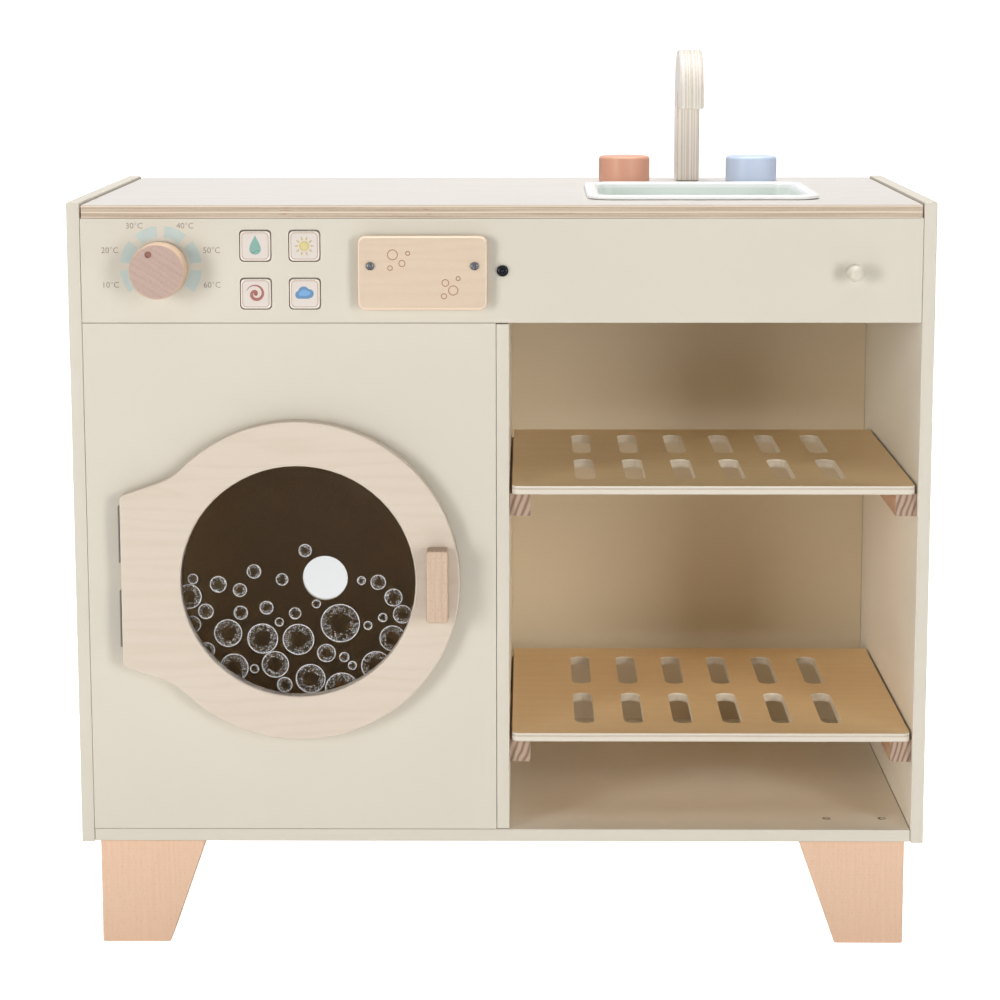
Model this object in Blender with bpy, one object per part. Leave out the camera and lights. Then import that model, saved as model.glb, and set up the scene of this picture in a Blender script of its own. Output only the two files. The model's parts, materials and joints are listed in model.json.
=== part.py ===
"""A toy washing machine with a sink beside it, in its own frame: metres, +Z up, its front facing -Y.

The origin is on the floor, in the middle of the space that the closed toy takes up.
"""

import math

import bmesh
import bpy
from mathutils import Matrix, Vector

# Gaps that all pieces share
SEAT_GAP = 0.0003
BOARD_SEAM = 0.0009
CUT_OVERRUN = 0.001
MERGE = 0.000001

# Cabinet boards
WIDTH = 0.600
DEPTH = 0.300
SIDE_HEIGHT = 0.457
BOARD = 0.009
BACK_BOARD = 0.005
SIDE_DROP = 0.001
SIDE_CORNER_RADIUS = 0.010
BOARD_EDGE = 0.0006
WORKTOP_THICKNESS = 0.009
WORKTOP_RECESS = 0.002
WORKTOP_END_GAP = 0.0012
WORKTOP_BACK_GAP = 0.0015
CONTROL_HEIGHT = 0.0722
DIVIDER_OFFSET = 0.001
VENT_RADIUS = 0.0184
VENT_RISE = 0.1182

# Legs
LEG_HEIGHT = 0.0775
LEG_TOP_WIDTH = 0.0762
LEG_FOOT_WIDTH = 0.0488
LEG_DEPTH = 0.040
LEG_SIDE_INSET = 0.0032
LEG_FRONT_INSET = 0.0065
LEG_EDGE = 0.0012

# Slotted shelves and the battens under them
SHELF_THICKNESS = 0.006
SHELF_TO_BACK = 0.0457
SHELF_PROUD = 0.001
SHELF_SIDE_GAP = 0.0019
SHELF_CORNER_RADIUS = 0.005
UPPER_SHELF_RISE = 0.2427
LOWER_SHELF_RISE = 0.0648
SLOT_WIDTH = 0.0145
SLOT_LENGTH = 0.084
SLOT_PITCH = 0.0355
SLOTS_IN_ROW = 6
SLOT_ROWS = 2
BATTEN_WIDTH = 0.0145
BATTEN_HEIGHT = 0.016
BATTEN_SETBACK = 0.005

# Door ring, its window and its handle
DOOR_OFFSET = 0.0052
DOOR_RISE = 0.0012
RING_RADIUS = 0.1134
WINDOW_RADIUS = 0.0821
MOUTH_RADIUS = 0.088
DOOR_THICKNESS = 0.012
DOOR_GAP = 0.0015
DOOR_EDGE = 0.0014
TAB_REACH = 0.124
TAB_HEIGHT = 0.1215
TAB_SLOPE_DEGREES = 19
TAB_SWEEP_RADIUS = 0.040
TAB_CORNER_RADIUS = 0.004
WINDOW_THICKNESS = 0.0025
WINDOW_LIP = 0.0045
WINDOW_CLEARANCE = 0.0004
HANDLE_WIDTH = 0.0153
HANDLE_HEIGHT = 0.051
HANDLE_PROJECTION = 0.017
HANDLE_EDGE = 0.0018
HANDLE_SCREW_SPACING = 0.030
HANDLE_SCREW_BITE = 0.010
MAGNET_RADIUS = 0.004
MAGNET_THICKNESS = 0.003
MAGNET_PROUD = 0.0004

# Hinges
HINGE_HEIGHT = 0.040
HINGE_SPACING = 0.0602
HINGE_RISE = 0.0034
KNUCKLE_RADIUS = 0.002
KNUCKLE_CLEARANCE = 0.0004
LEAF_THICKNESS = 0.0008
BOARD_LEAF_WIDTH = 0.014
DOOR_LEAF_WIDTH = 0.0102
PIN_RADIUS = 0.0009
PIN_CLEARANCE = 0.0002
PIN_END = 0.0005

# Screws and bolts
SCREW_RADIUS = 0.0015
SCREW_CLEARANCE = 0.0003
SCREW_HEAD_RADIUS = 0.0028
SCREW_HEAD_HEIGHT = 0.0018
BOLT_RADIUS = 0.0025
BOLT_CLEARANCE = 0.0003
BOLT_HEAD_RADIUS = 0.0055
BOLT_HEAD_HEIGHT = 0.003
CONTROL_SCREW_RADIUS = 0.0019
CONTROL_SCREW_HEAD_RADIUS = 0.004
CONTROL_SCREW_HEAD_HEIGHT = 0.0024
CONTROL_SCREW_BITE = 0.020

# Dial
ROOM_BEFORE_DIAL_SHARE = 0.421
DIAL_RISE = 0.0016
DIAL_RADIUS = 0.019
DIAL_DEPTH = 0.0232
DIAL_EDGE = 0.0016
DOT_RADIUS = 0.0024
DOT_SINK = 0.001
DOT_PLACE_RADIUS = 0.013
DOT_ANGLE_DEGREES = 114
WASHER_THICKNESS = 0.0008
WASHER_RADIUS = 0.008
DIAL_BOLT_BITE = 0.014

# Push buttons, their springs and housing
ROOM_BEFORE_BUTTONS_SHARE = 0.351
BUTTONS_RISE = 0.0008
BUTTON_PITCH_ACROSS = 0.0339
BUTTON_PITCH_UP = 0.0332
BUTTON_HOLE = 0.0222
BUTTON_CLEARANCE = 0.0006
BUTTON_CORNER_RADIUS = 0.003
BUTTON_PROUD = 0.0015
BUTTON_EDGE = 0.001
BUTTON_TRAVEL = 0.003
FLANGE_LAP = 0.0012
FLANGE_THICKNESS = 0.002
SPRING_LENGTH = 0.0094
SPRING_RADIUS = 0.0036
SPRING_WIRE_RADIUS = 0.0004
SPRING_TURNS = 4
SPRING_PEG_RADIUS = 0.0025
SPRING_PEG_HEIGHT = 0.003
HOUSING_WALL = 0.002
HOUSING_CLEARANCE = 0.0015

# Soap drawer and its runner
SOAP_TO_DIVIDER = 0.0059
SOAP_DROP = 0.0008
SOAP_WIDTH = 0.0893
SOAP_HEIGHT = 0.0510
SOAP_THICKNESS = 0.0095
SOAP_CORNER_RADIUS = 0.0055
SOAP_EDGE = 0.0018
SOAP_SCREW_INSET = 0.00875
SOAP_SCREW_RISE = 0.005
SOAP_SCREW_BITE = 0.014
DRAWER_CLEARANCE = 0.0006
TRAY_WALL = 0.009
TRAY_HEIGHT = 0.040
TRAY_FLOOR = 0.004
TRAY_TRAVEL = 0.050
TRAY_STOP = 0.004
TRAY_BACK_SPACE = 0.0015
RUNNER_WALL = 0.005
RUNNER_HEIGHT = 0.030

# Turned peg
PEG_TO_SIDE = 0.0475
PEG_DROP = 0.0009
PEG_BASE_RADIUS = 0.0053
PEG_BASE_HEIGHT = 0.0018
PEG_NECK_RADIUS = 0.0027
PEG_BALL_RADIUS = 0.0058
PEG_BALL_OUT = 0.0118
PEG_TENON_RADIUS = 0.0025
PEG_TENON_LENGTH = 0.0075

# Sink
SINK_TO_SIDE = 0.1478
SINK_SETBACK = 0.044
SINK_TO_BACK = 0.100
RIM_WIDTH = 0.165
RIM_CORNER_RADIUS = 0.018
RIM_CORNER_SHARE = 0.5
RIM_HEIGHT = 0.003
RIM_FLANGE = 0.009
RIM_ROLL = 0.0012
BASIN_DEPTH = 0.050
BASIN_WALL = 0.0022
BASIN_DRAFT = 0.006
BASIN_FOOT_RADIUS = 0.010
SINK_CLEARANCE = 0.001

# Tap knobs and spout
TAP_SPACING = 0.099
TAP_TO_BACK = 0.050
TAP_RADIUS = 0.01975
TAP_HEIGHT = 0.0197
TAP_EDGE = 0.0022
TAP_BOLT_BITE = 0.014
SPOUT_TO_BACK = 0.035
SPOUT_THICKNESS = 0.018
SPOUT_BAND = 0.030
SPOUT_GAP = 0.020
SPOUT_HEIGHT = 0.102
SPOUT_TIP = 0.0045
SPOUT_EDGE = 0.001
SPOUT_BOLT_BITE = 0.020

# Facets
LARGE_STEPS = 64
ROUND_STEPS = 36
SMALL_STEPS = 16
SCREW_STEPS = 12
SLOT_END_STEPS = 6
CORNER_STEPS = 4
EDGE_STEPS = 2

# Colours as the eye names them, and how rough each finish is
CREAM = ("cream paint", (0.89, 0.86, 0.79), 0.45)
PALE_PINE = ("pale pine", (0.89, 0.82, 0.75), 0.55)
BIRCH_PLY = ("birch ply", (0.90, 0.86, 0.80), 0.40)
SHELF_PLY = ("oiled ply", (0.76, 0.65, 0.51), 0.50)
BEECH = ("beech", (0.88, 0.74, 0.62), 0.55)
STAINED_BEECH = ("stained beech", (0.78, 0.66, 0.60), 0.55)
SINK_WHITE = ("sink enamel", (0.88, 0.91, 0.90), 0.25)
TERRACOTTA = ("terracotta paint", (0.82, 0.60, 0.50), 0.35)
SKY_BLUE = ("blue paint", (0.76, 0.82, 0.90), 0.35)
CLEAR_SHEET = ("clear sheet", (0.35, 0.32, 0.29), 0.08)
STEEL = ("steel", (0.66, 0.66, 0.66), 0.35)
BLACK_STEEL = ("black steel", (0.10, 0.10, 0.11), 0.40)
GREY_MOULDING = ("grey moulding", (0.62, 0.62, 0.60), 0.50)
METALS = ("steel", "black steel")

# Heights
FLOOR_UNDER = LEG_HEIGHT + SEAT_GAP
FLOOR_TOP = FLOOR_UNDER + BOARD
SIDE_BOTTOM = FLOOR_UNDER - SIDE_DROP
SIDE_TOP = SIDE_BOTTOM + SIDE_HEIGHT
WORKTOP_TOP = SIDE_TOP - WORKTOP_RECESS
WORKTOP_UNDER = WORKTOP_TOP - WORKTOP_THICKNESS
CONTROL_TOP = WORKTOP_UNDER - SEAT_GAP
CONTROL_BOTTOM = CONTROL_TOP - CONTROL_HEIGHT
CONTROL_MIDDLE = (CONTROL_TOP + CONTROL_BOTTOM) / 2
FRONT_TOP = CONTROL_BOTTOM - BOARD_SEAM
FRONT_BOTTOM = FLOOR_TOP + SEAT_GAP
UPPER_SHELF_UNDER = FLOOR_TOP + UPPER_SHELF_RISE
LOWER_SHELF_UNDER = FLOOR_TOP + LOWER_SHELF_RISE

# Places from side to side
INSIDE_RIGHT = WIDTH / 2 - BOARD
INSIDE_LEFT = -INSIDE_RIGHT
DIVIDER_LEFT = DIVIDER_OFFSET - BOARD / 2
DIVIDER_RIGHT = DIVIDER_OFFSET + BOARD / 2
DOOR_X = (INSIDE_LEFT + DIVIDER_LEFT) / 2 + DOOR_OFFSET
DOOR_Z = (FRONT_TOP + FRONT_BOTTOM) / 2 + DOOR_RISE
SOAP_X = DIVIDER_LEFT - SOAP_TO_DIVIDER - SOAP_WIDTH / 2
FLANGE_SIZE = BUTTON_HOLE + FLANGE_LAP * 2
HOUSING_WIDTH = BUTTON_PITCH_ACROSS + FLANGE_SIZE + (HOUSING_CLEARANCE + HOUSING_WALL) * 2
HOUSING_HEIGHT = BUTTON_PITCH_UP + FLANGE_SIZE + (HOUSING_CLEARANCE + HOUSING_WALL) * 2
SOAP_SCREW_SPACING = SOAP_WIDTH - SOAP_SCREW_INSET * 2
TRAY_WIDTH = SOAP_SCREW_SPACING + TRAY_WALL
RUNNER_WIDTH = TRAY_WIDTH + (DRAWER_CLEARANCE + RUNNER_WALL) * 2
CONTROL_ROOM = SOAP_X - RUNNER_WIDTH / 2 - HOUSING_WIDTH - DIAL_RADIUS * 2 - INSIDE_LEFT
DIAL_X = INSIDE_LEFT + CONTROL_ROOM * ROOM_BEFORE_DIAL_SHARE + DIAL_RADIUS
BUTTONS_X = DIAL_X + DIAL_RADIUS + CONTROL_ROOM * ROOM_BEFORE_BUTTONS_SHARE + HOUSING_WIDTH / 2
DIAL_Z = CONTROL_MIDDLE + DIAL_RISE
BUTTONS_Z = CONTROL_MIDDLE + BUTTONS_RISE
SOAP_Z = CONTROL_MIDDLE - SOAP_DROP
PEG_X = INSIDE_RIGHT - PEG_TO_SIDE
PEG_Z = CONTROL_MIDDLE - PEG_DROP
HANDLE_X = DOOR_X + (RING_RADIUS + WINDOW_RADIUS) / 2
SINK_X = INSIDE_RIGHT - SINK_TO_SIDE
WARM_X = SINK_X - TAP_SPACING / 2
COLD_X = SINK_X + TAP_SPACING / 2

# Places from front to back. FRONT is the plane of the cabinet's front edges
HANDLE_REACH = DOOR_GAP + DOOR_THICKNESS + SEAT_GAP + HANDLE_PROJECTION
DIAL_REACH = WASHER_THICKNESS + SEAT_GAP * 2 + DIAL_DEPTH
PEG_REACH = PEG_BALL_OUT + PEG_BALL_RADIUS
FRONT_REACH = max(HANDLE_REACH, DIAL_REACH, PEG_REACH)
FRONT = (FRONT_REACH - DEPTH) / 2
BACK = FRONT + DEPTH
BACK_BOARD_FRONT = BACK - BACK_BOARD
INSIDE_BACK = BACK_BOARD_FRONT - SEAT_GAP
CONTROL_BACK = FRONT + BOARD
SHELF_FRONT = FRONT - SHELF_PROUD
SHELF_BACK = INSIDE_BACK - SHELF_TO_BACK
SHELF_DEPTH = SHELF_BACK - SHELF_FRONT
BATTEN_FRONT = FRONT + BATTEN_SETBACK
DOOR_BACK = FRONT - DOOR_GAP
DOOR_FRONT = DOOR_BACK - DOOR_THICKNESS
BUTTON_FLANGE_BACK = CONTROL_BACK + SEAT_GAP + FLANGE_THICKNESS
HOUSING_FLOOR = BUTTON_FLANGE_BACK + SPRING_LENGTH + SEAT_GAP * 2
TRAY_STOP_FRONT = CONTROL_BACK + SEAT_GAP + TRAY_TRAVEL
TRAY_BACK = TRAY_STOP_FRONT + TRAY_WALL
RIM_DEPTH = DEPTH - SINK_SETBACK - SINK_TO_BACK
SINK_Y = FRONT + SINK_SETBACK + RIM_DEPTH / 2
TAP_Y = BACK - TAP_TO_BACK
SPOUT_Y = BACK - SPOUT_TO_BACK
TAP_PLACES = [("warm", WARM_X, TAP_Y), ("cold", COLD_X, TAP_Y), ("spout", SINK_X, SPOUT_Y)]

# The hinge pins' axis, at the tab's back corner
HINGE_X = DOOR_X - TAB_REACH - SEAT_GAP - LEAF_THICKNESS + KNUCKLE_RADIUS
HINGE_Y = FRONT - SEAT_GAP - KNUCKLE_RADIUS
HINGE_REACH = KNUCKLE_RADIUS + KNUCKLE_CLEARANCE

PLANES = {"X": "yzx", "Y": "xzy", "Z": "xyz"}
TURN_DEGREES = {"Z": 0, "-Y": 90, "Y": -90}
SHARP_ANGLE = math.radians(35)


def clear_scene():
    for obj in list(bpy.data.objects):
        bpy.data.objects.remove(obj, do_unlink=True)


def linear(value):
    """A colour channel as the eye sees it, turned into the one that a shader takes."""
    return ((value + 0.055) / 1.055) ** 2.4


def finish_of(finish):
    """The material of one finish, made when it is first asked for."""
    name, colour, roughness = finish
    found = bpy.data.materials.get(name)
    if found:
        return found
    made = bpy.data.materials.new(name)
    made.use_nodes = True
    shader = made.node_tree.nodes["Principled BSDF"]
    red, green, blue = (linear(channel) for channel in colour)
    shader.inputs["Base Color"].default_value = (red, green, blue, 1)
    shader.inputs["Roughness"].default_value = roughness
    shader.inputs["Metallic"].default_value = 1 if name in METALS else 0
    return made


# Outlines, as lists of places across and up


def arc(centre, radius, first, last, steps):
    """Points along an arc, from the first angle to the last, both in degrees."""
    points = []
    for step in range(steps + 1):
        angle = math.radians(first + (last - first) * step / steps)
        points.append((centre[0] + radius * math.cos(angle), centre[1] + radius * math.sin(angle)))
    return points


def circle(radius, steps):
    return arc((0, 0), radius, 0, 360, steps)[:-1]


def block(left, right, bottom, top):
    return [(left, bottom), (right, bottom), (right, top), (left, top)]


def rectangle(width, height):
    return block(-width / 2, width / 2, -height / 2, height / 2)


def corner_arc(before, corner, after, radius, steps=CORNER_STEPS):
    """Points of the arc that rounds one corner of an outline."""
    corner = Vector(corner)
    back = (Vector(before) - corner).normalized()
    ahead = (Vector(after) - corner).normalized()
    half = back.angle(ahead) / 2
    centre = corner + (back + ahead).normalized() * (radius / math.sin(half))
    start = corner + back * (radius / math.tan(half)) - centre
    end = corner + ahead * (radius / math.tan(half)) - centre
    first = math.degrees(math.atan2(start.y, start.x))
    turn = (math.degrees(math.atan2(end.y, end.x)) - first + 180) % 360 - 180
    return arc(centre, radius, first, first + turn, steps)


def rounded(corners, radii, steps=CORNER_STEPS):
    """An outline with each corner rounded by its own radius, and left sharp where that is zero."""
    points = []
    for index, (corner, radius) in enumerate(zip(corners, radii)):
        if radius > 0:
            before, after = corners[index - 1], corners[(index + 1) % len(corners)]
            points += corner_arc(before, corner, after, radius, steps)
        else:
            points.append(corner)
    return points


def rounded_rectangle(width, height, radius, steps=CORNER_STEPS):
    return rounded(rectangle(width, height), [radius] * 4, steps)


def slot_outline(width, length):
    """A slot with round ends, its length running up the outline."""
    straight = (length - width) / 2
    ends = arc((0, straight), width / 2, 0, 180, SLOT_END_STEPS)
    return ends + arc((0, -straight), width / 2, 180, 360, SLOT_END_STEPS)


# Solids


def place_in(axis, across, up, along):
    """A point from its place in an outline's plane and its place along the axis."""
    place = dict(zip(PLANES[axis], (across, up, along)))
    return Vector((place["x"], place["y"], place["z"]))


def finished(name, shape, location, finish):
    """A closed shape made into an object, its faces pointing out."""
    bmesh.ops.recalc_face_normals(shape, faces=shape.faces)
    mesh = bpy.data.meshes.new(name)
    shape.to_mesh(mesh)
    shape.free()
    mesh.shade_smooth()
    mesh.set_sharp_from_angle(angle=SHARP_ANGLE)
    if finish:
        mesh.materials.append(finish_of(finish))
    obj = bpy.data.objects.new(name, mesh)
    obj.location = location
    bpy.context.scene.collection.objects.link(obj)
    return obj


def prism(name, outline, axis, length, location, finish=None):
    """An outline pushed a length along an axis, from its location on."""
    shape = bmesh.new()
    start = [shape.verts.new(place_in(axis, across, up, 0)) for across, up in outline]
    end = [shape.verts.new(place_in(axis, across, up, length)) for across, up in outline]
    shape.faces.new(start)
    shape.faces.new(reversed(end))
    sides = [(ring[index - 1], ring[index]) for ring in (start, end) for index in range(len(ring))]
    bmesh.ops.bridge_loops(shape, edges=[shape.edges.get(side) for side in sides])
    return finished(name, shape, location, finish)


def turned(name, profile, axis, location, steps=ROUND_STEPS, finish=None, hollow=False):
    """A profile of (radius, height) points spun round an axis, as on a lathe."""
    shape = bmesh.new()
    points = [shape.verts.new((radius, 0, height)) for radius, height in profile]
    pairs = list(zip(points, points[1:]))
    if hollow:
        pairs.append((points[-1], points[0]))
    edges = [shape.edges.new(pair) for pair in pairs]
    spun = points + edges
    bmesh.ops.spin(shape, geom=spun, axis=(0, 0, 1), angle=math.tau, steps=steps, use_merge=True)
    bmesh.ops.remove_doubles(shape, verts=shape.verts, dist=MERGE)
    turn = Matrix.Rotation(math.radians(TURN_DEGREES[axis]), 3, "X")
    bmesh.ops.rotate(shape, verts=shape.verts, matrix=turn)
    return finished(name, shape, location, finish)


def loft(name, rings, location, finish):
    """Rings of as many points each, given as (outline, height), joined in turn and closed at both ends."""
    shape = bmesh.new()
    loops = [[shape.verts.new((across, up, height)) for across, up in outline] for outline, height in rings]
    shape.faces.new(loops[0])
    shape.faces.new(reversed(loops[-1]))
    for below, above in zip(loops, loops[1:]):
        for index in range(len(below)):
            shape.faces.new((below[index - 1], below[index], above[index], above[index - 1]))
    return finished(name, shape, location, finish)


def soften(obj, width, steps=EDGE_STEPS):
    """Rounds the sharp edges of a piece."""
    bevel = obj.modifiers.new("Soft edges", "BEVEL")
    bevel.width = width
    bevel.segments = steps
    bevel.limit_method = "ANGLE"
    bevel.angle_limit = SHARP_ANGLE
    return obj


def hold(parent, *children):
    """Ties pieces to what carries them, without moving them."""
    for child in children:
        child.parent = parent
        child.matrix_parent_inverse = Matrix.Translation(parent.location).inverted()


def combine(target, other, operation):
    """Cuts the other shape from the target, or joins it on, and keeps it as a wire guide."""
    modifier = target.modifiers.new(operation.title() + " " + other.name, "BOOLEAN")
    modifier.operation = operation
    modifier.object = other
    modifier.solver = "EXACT"
    other.hide_render = True
    other.display_type = "WIRE"
    hold(target, other)


def cut(target, other):
    combine(target, other, "DIFFERENCE")


def join(target, other):
    combine(target, other, "UNION")


def drill(target, name, radius, axis, location, length, steps=SMALL_STEPS):
    """A round hole of a length along an axis, from its location on."""
    cut(target, prism(name + "_hole", circle(radius, steps), axis, length, location))


def axis_empty(name, location):
    """The empty that marks a joint's axis and carries what moves on it."""
    empty = bpy.data.objects.new(name, None)
    empty.location = location
    empty.empty_display_size = BOARD
    bpy.context.scene.collection.objects.link(empty)
    return empty


def screw(name, axis, location, radius, length, head_radius, head_height, finish):
    """A pan head screw: its head stands at the location and its shank runs on along the axis."""
    soft_edge = head_height / 2
    profile = [(0, -head_height)]
    profile += arc((head_radius - soft_edge, -soft_edge), soft_edge, -90, 0, EDGE_STEPS)
    profile += [(head_radius, 0), (radius, 0), (radius, length), (0, length)]
    return turned(name, profile, axis, location, SCREW_STEPS, finish)


# Cabinet


def side_board(name, left):
    corners = block(0, DEPTH, 0, SIDE_HEIGHT)
    outline = rounded(corners, [0, 0, SIDE_CORNER_RADIUS, 0])
    return soften(prism(name, outline, "X", BOARD, (left, FRONT, SIDE_BOTTOM), CREAM), BOARD_EDGE, 1)


def floor_board():
    outline = block(INSIDE_LEFT + SEAT_GAP, INSIDE_RIGHT - SEAT_GAP, FRONT, INSIDE_BACK)
    return soften(prism("floor_board", outline, "Z", BOARD, (0, 0, FLOOR_UNDER), CREAM), BOARD_EDGE, 1)


def divider_board():
    """The upright between the two bays, notched at the top for the control board."""
    top = CONTROL_TOP
    notch = CONTROL_BOTTOM - BOARD_SEAM
    behind = CONTROL_BACK + SEAT_GAP
    outline = [
        (FRONT, FRONT_BOTTOM),
        (INSIDE_BACK, FRONT_BOTTOM),
        (INSIDE_BACK, top),
        (behind, top),
        (behind, notch),
        (FRONT, notch),
    ]
    board = soften(prism("divider_board", outline, "X", BOARD, (DIVIDER_LEFT, 0, 0), CREAM), BOARD_EDGE, 1)
    start = behind - CUT_OVERRUN
    depth = CONTROL_SCREW_BITE + SCREW_CLEARANCE + CUT_OVERRUN
    radius = CONTROL_SCREW_RADIUS + SCREW_CLEARANCE
    drill(board, "control_screw_pilot", radius, "Y", (DIVIDER_OFFSET, start, CONTROL_MIDDLE), depth)
    return board


def back_board():
    outline = block(INSIDE_LEFT + SEAT_GAP, INSIDE_RIGHT - SEAT_GAP, FLOOR_UNDER, CONTROL_TOP)
    board = prism("back_board", outline, "Y", BACK_BOARD, (0, BACK_BOARD_FRONT, 0), CREAM)
    vent = ((INSIDE_LEFT + DIVIDER_LEFT) / 2, BACK_BOARD_FRONT - CUT_OVERRUN, FLOOR_TOP + VENT_RISE)
    drill(board, "vent", VENT_RADIUS, "Y", vent, BACK_BOARD + CUT_OVERRUN * 2, ROUND_STEPS)
    return board


def worktop():
    left = INSIDE_LEFT + WORKTOP_END_GAP
    right = INSIDE_RIGHT - WORKTOP_END_GAP
    outline = block(left, right, FRONT, BACK - WORKTOP_BACK_GAP)
    board = prism("worktop", outline, "Z", WORKTOP_THICKNESS, (0, 0, WORKTOP_UNDER), BIRCH_PLY)
    start = WORKTOP_UNDER - CUT_OVERRUN
    through = WORKTOP_THICKNESS + CUT_OVERRUN * 2
    sink_hole = sink_outline(BASIN_WALL + SINK_CLEARANCE - RIM_FLANGE)
    cut(board, prism("sink_hole", sink_hole, "Z", through, (SINK_X, SINK_Y, start)))
    for name, across, behind in TAP_PLACES:
        drill(board, name + "_bolt", BOLT_RADIUS + BOLT_CLEARANCE, "Z", (across, behind, start), through)
    return board


def front_board():
    """The board with the round mouth of the wash compartment, which the door closes."""
    outline = block(INSIDE_LEFT + SEAT_GAP, DIVIDER_LEFT - SEAT_GAP, FRONT_BOTTOM, FRONT_TOP)
    board = prism("front_board", outline, "Y", BOARD, (0, FRONT, 0), CREAM)
    start = FRONT - CUT_OVERRUN
    drill(board, "mouth", MOUTH_RADIUS, "Y", (DOOR_X, start, DOOR_Z), BOARD + CUT_OVERRUN * 2, LARGE_STEPS)
    depth = MAGNET_THICKNESS - MAGNET_PROUD + SEAT_GAP + CUT_OVERRUN
    drill(board, "board_magnet", MAGNET_RADIUS + SEAT_GAP, "Y", (HANDLE_X, start, DOOR_Z), depth)
    return board


def control_board():
    """The full-width board that holds the dial, the buttons, the soap drawer and the peg."""
    outline = block(INSIDE_LEFT + SEAT_GAP, INSIDE_RIGHT - SEAT_GAP, CONTROL_BOTTOM, CONTROL_TOP)
    board = prism("control_board", outline, "Y", BOARD, (0, FRONT, 0), CREAM)
    start = FRONT - CUT_OVERRUN
    through = BOARD + CUT_OVERRUN * 2
    drill(board, "dial_bolt", BOLT_RADIUS + BOLT_CLEARANCE, "Y", (DIAL_X, start, DIAL_Z), through)
    radius = CONTROL_SCREW_RADIUS + SCREW_CLEARANCE
    drill(board, "control_screw", radius, "Y", (DIVIDER_OFFSET, start, CONTROL_MIDDLE), through)
    depth = PEG_TENON_LENGTH + SEAT_GAP + CUT_OVERRUN
    drill(board, "peg", PEG_TENON_RADIUS + SEAT_GAP, "Y", (PEG_X, start, PEG_Z), depth)
    hole = rounded_rectangle(BUTTON_HOLE, BUTTON_HOLE, BUTTON_CORNER_RADIUS)
    for name, across, up in button_places():
        cut(board, prism(name + "_hole", hole, "Y", through, (across, start, up)))
    opening = rectangle(TRAY_WIDTH + DRAWER_CLEARANCE * 2, TRAY_HEIGHT + DRAWER_CLEARANCE * 2)
    cut(board, prism("drawer_opening", opening, "Y", through, (SOAP_X, start, SOAP_Z)))
    return board


def control_screw():
    length = BOARD + SEAT_GAP * 2 + CONTROL_SCREW_BITE
    place = (DIVIDER_OFFSET, FRONT - SEAT_GAP, CONTROL_MIDDLE)
    head = (CONTROL_SCREW_HEAD_RADIUS, CONTROL_SCREW_HEAD_HEIGHT)
    return screw("control_screw", "Y", place, CONTROL_SCREW_RADIUS, length, *head, BLACK_STEEL)


def cloth_peg():
    """A small turned peg: a flared base, a thin neck and a ball, on a tenon in the control board."""
    profile = [(0, -PEG_TENON_LENGTH), (PEG_TENON_RADIUS, -PEG_TENON_LENGTH), (PEG_TENON_RADIUS, SEAT_GAP)]
    profile.append((PEG_BASE_RADIUS, SEAT_GAP))
    flare = PEG_BASE_RADIUS - PEG_NECK_RADIUS
    profile += arc((PEG_BASE_RADIUS, PEG_BASE_HEIGHT + flare), flare, 270, 180, CORNER_STEPS)
    joined = math.degrees(math.asin(PEG_NECK_RADIUS / PEG_BALL_RADIUS)) - 90
    profile += arc((0, PEG_BALL_OUT), PEG_BALL_RADIUS, joined, 90, CORNER_STEPS * 2)[:-1]
    profile.append((0, PEG_BALL_OUT + PEG_BALL_RADIUS))
    return turned("cloth_peg", profile, "-Y", (PEG_X, FRONT, PEG_Z), SMALL_STEPS, CREAM)


def legs():
    """Four legs, upright on their outer side and drawn in towards the foot on their inner side."""
    rows = (("front", FRONT + LEG_FRONT_INSET), ("back", BACK - LEG_FRONT_INSET - LEG_DEPTH))
    for row, start in rows:
        for side, turn in (("left", 1), ("right", -1)):
            outer = INSIDE_LEFT + LEG_SIDE_INSET
            corners = [
                (outer, 0),
                (outer + LEG_FOOT_WIDTH, 0),
                (outer + LEG_TOP_WIDTH, LEG_HEIGHT),
                (outer, LEG_HEIGHT),
            ]
            outline = [(across * turn, up) for across, up in corners]
            soften(prism(f"{row}_{side}_leg", outline, "Y", LEG_DEPTH, (0, start, 0), BEECH), LEG_EDGE)


# Shelves


def shelf(name, under):
    left = DIVIDER_RIGHT + SHELF_SIDE_GAP
    right = INSIDE_RIGHT - SHELF_SIDE_GAP
    corners = block(left, right, SHELF_FRONT, SHELF_BACK)
    radii = [SHELF_CORNER_RADIUS, SHELF_CORNER_RADIUS, 0, 0]
    board = prism(name, rounded(corners, radii), "Z", SHELF_THICKNESS, (0, 0, under), SHELF_PLY)
    margin = (SHELF_DEPTH - SLOT_ROWS * SLOT_LENGTH) / (SLOT_ROWS + 1)
    outline = slot_outline(SLOT_WIDTH, SLOT_LENGTH)
    through = SHELF_THICKNESS + CUT_OVERRUN * 2
    for row in range(SLOT_ROWS):
        middle = SHELF_FRONT + margin * (row + 1) + SLOT_LENGTH * (row + 0.5)
        for column in range(SLOTS_IN_ROW):
            across = (left + right) / 2 + SLOT_PITCH * (column - (SLOTS_IN_ROW - 1) / 2)
            place = (across, middle, under - CUT_OVERRUN)
            cut(board, prism(f"{name}_slot", outline, "Z", through, place))
    return board


def battens(name, shelf_under):
    """The two square battens that a shelf lies on."""
    top = shelf_under - SEAT_GAP
    right_batten = INSIDE_RIGHT - SEAT_GAP - BATTEN_WIDTH
    for side, left in (("left", DIVIDER_RIGHT + SEAT_GAP), ("right", right_batten)):
        outline = block(left, left + BATTEN_WIDTH, top - BATTEN_HEIGHT, top)
        length = SHELF_BACK - BATTEN_FRONT
        prism(f"{name}_{side}_batten", outline, "Y", length, (0, BATTEN_FRONT, 0), BEECH)


# Door


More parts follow.
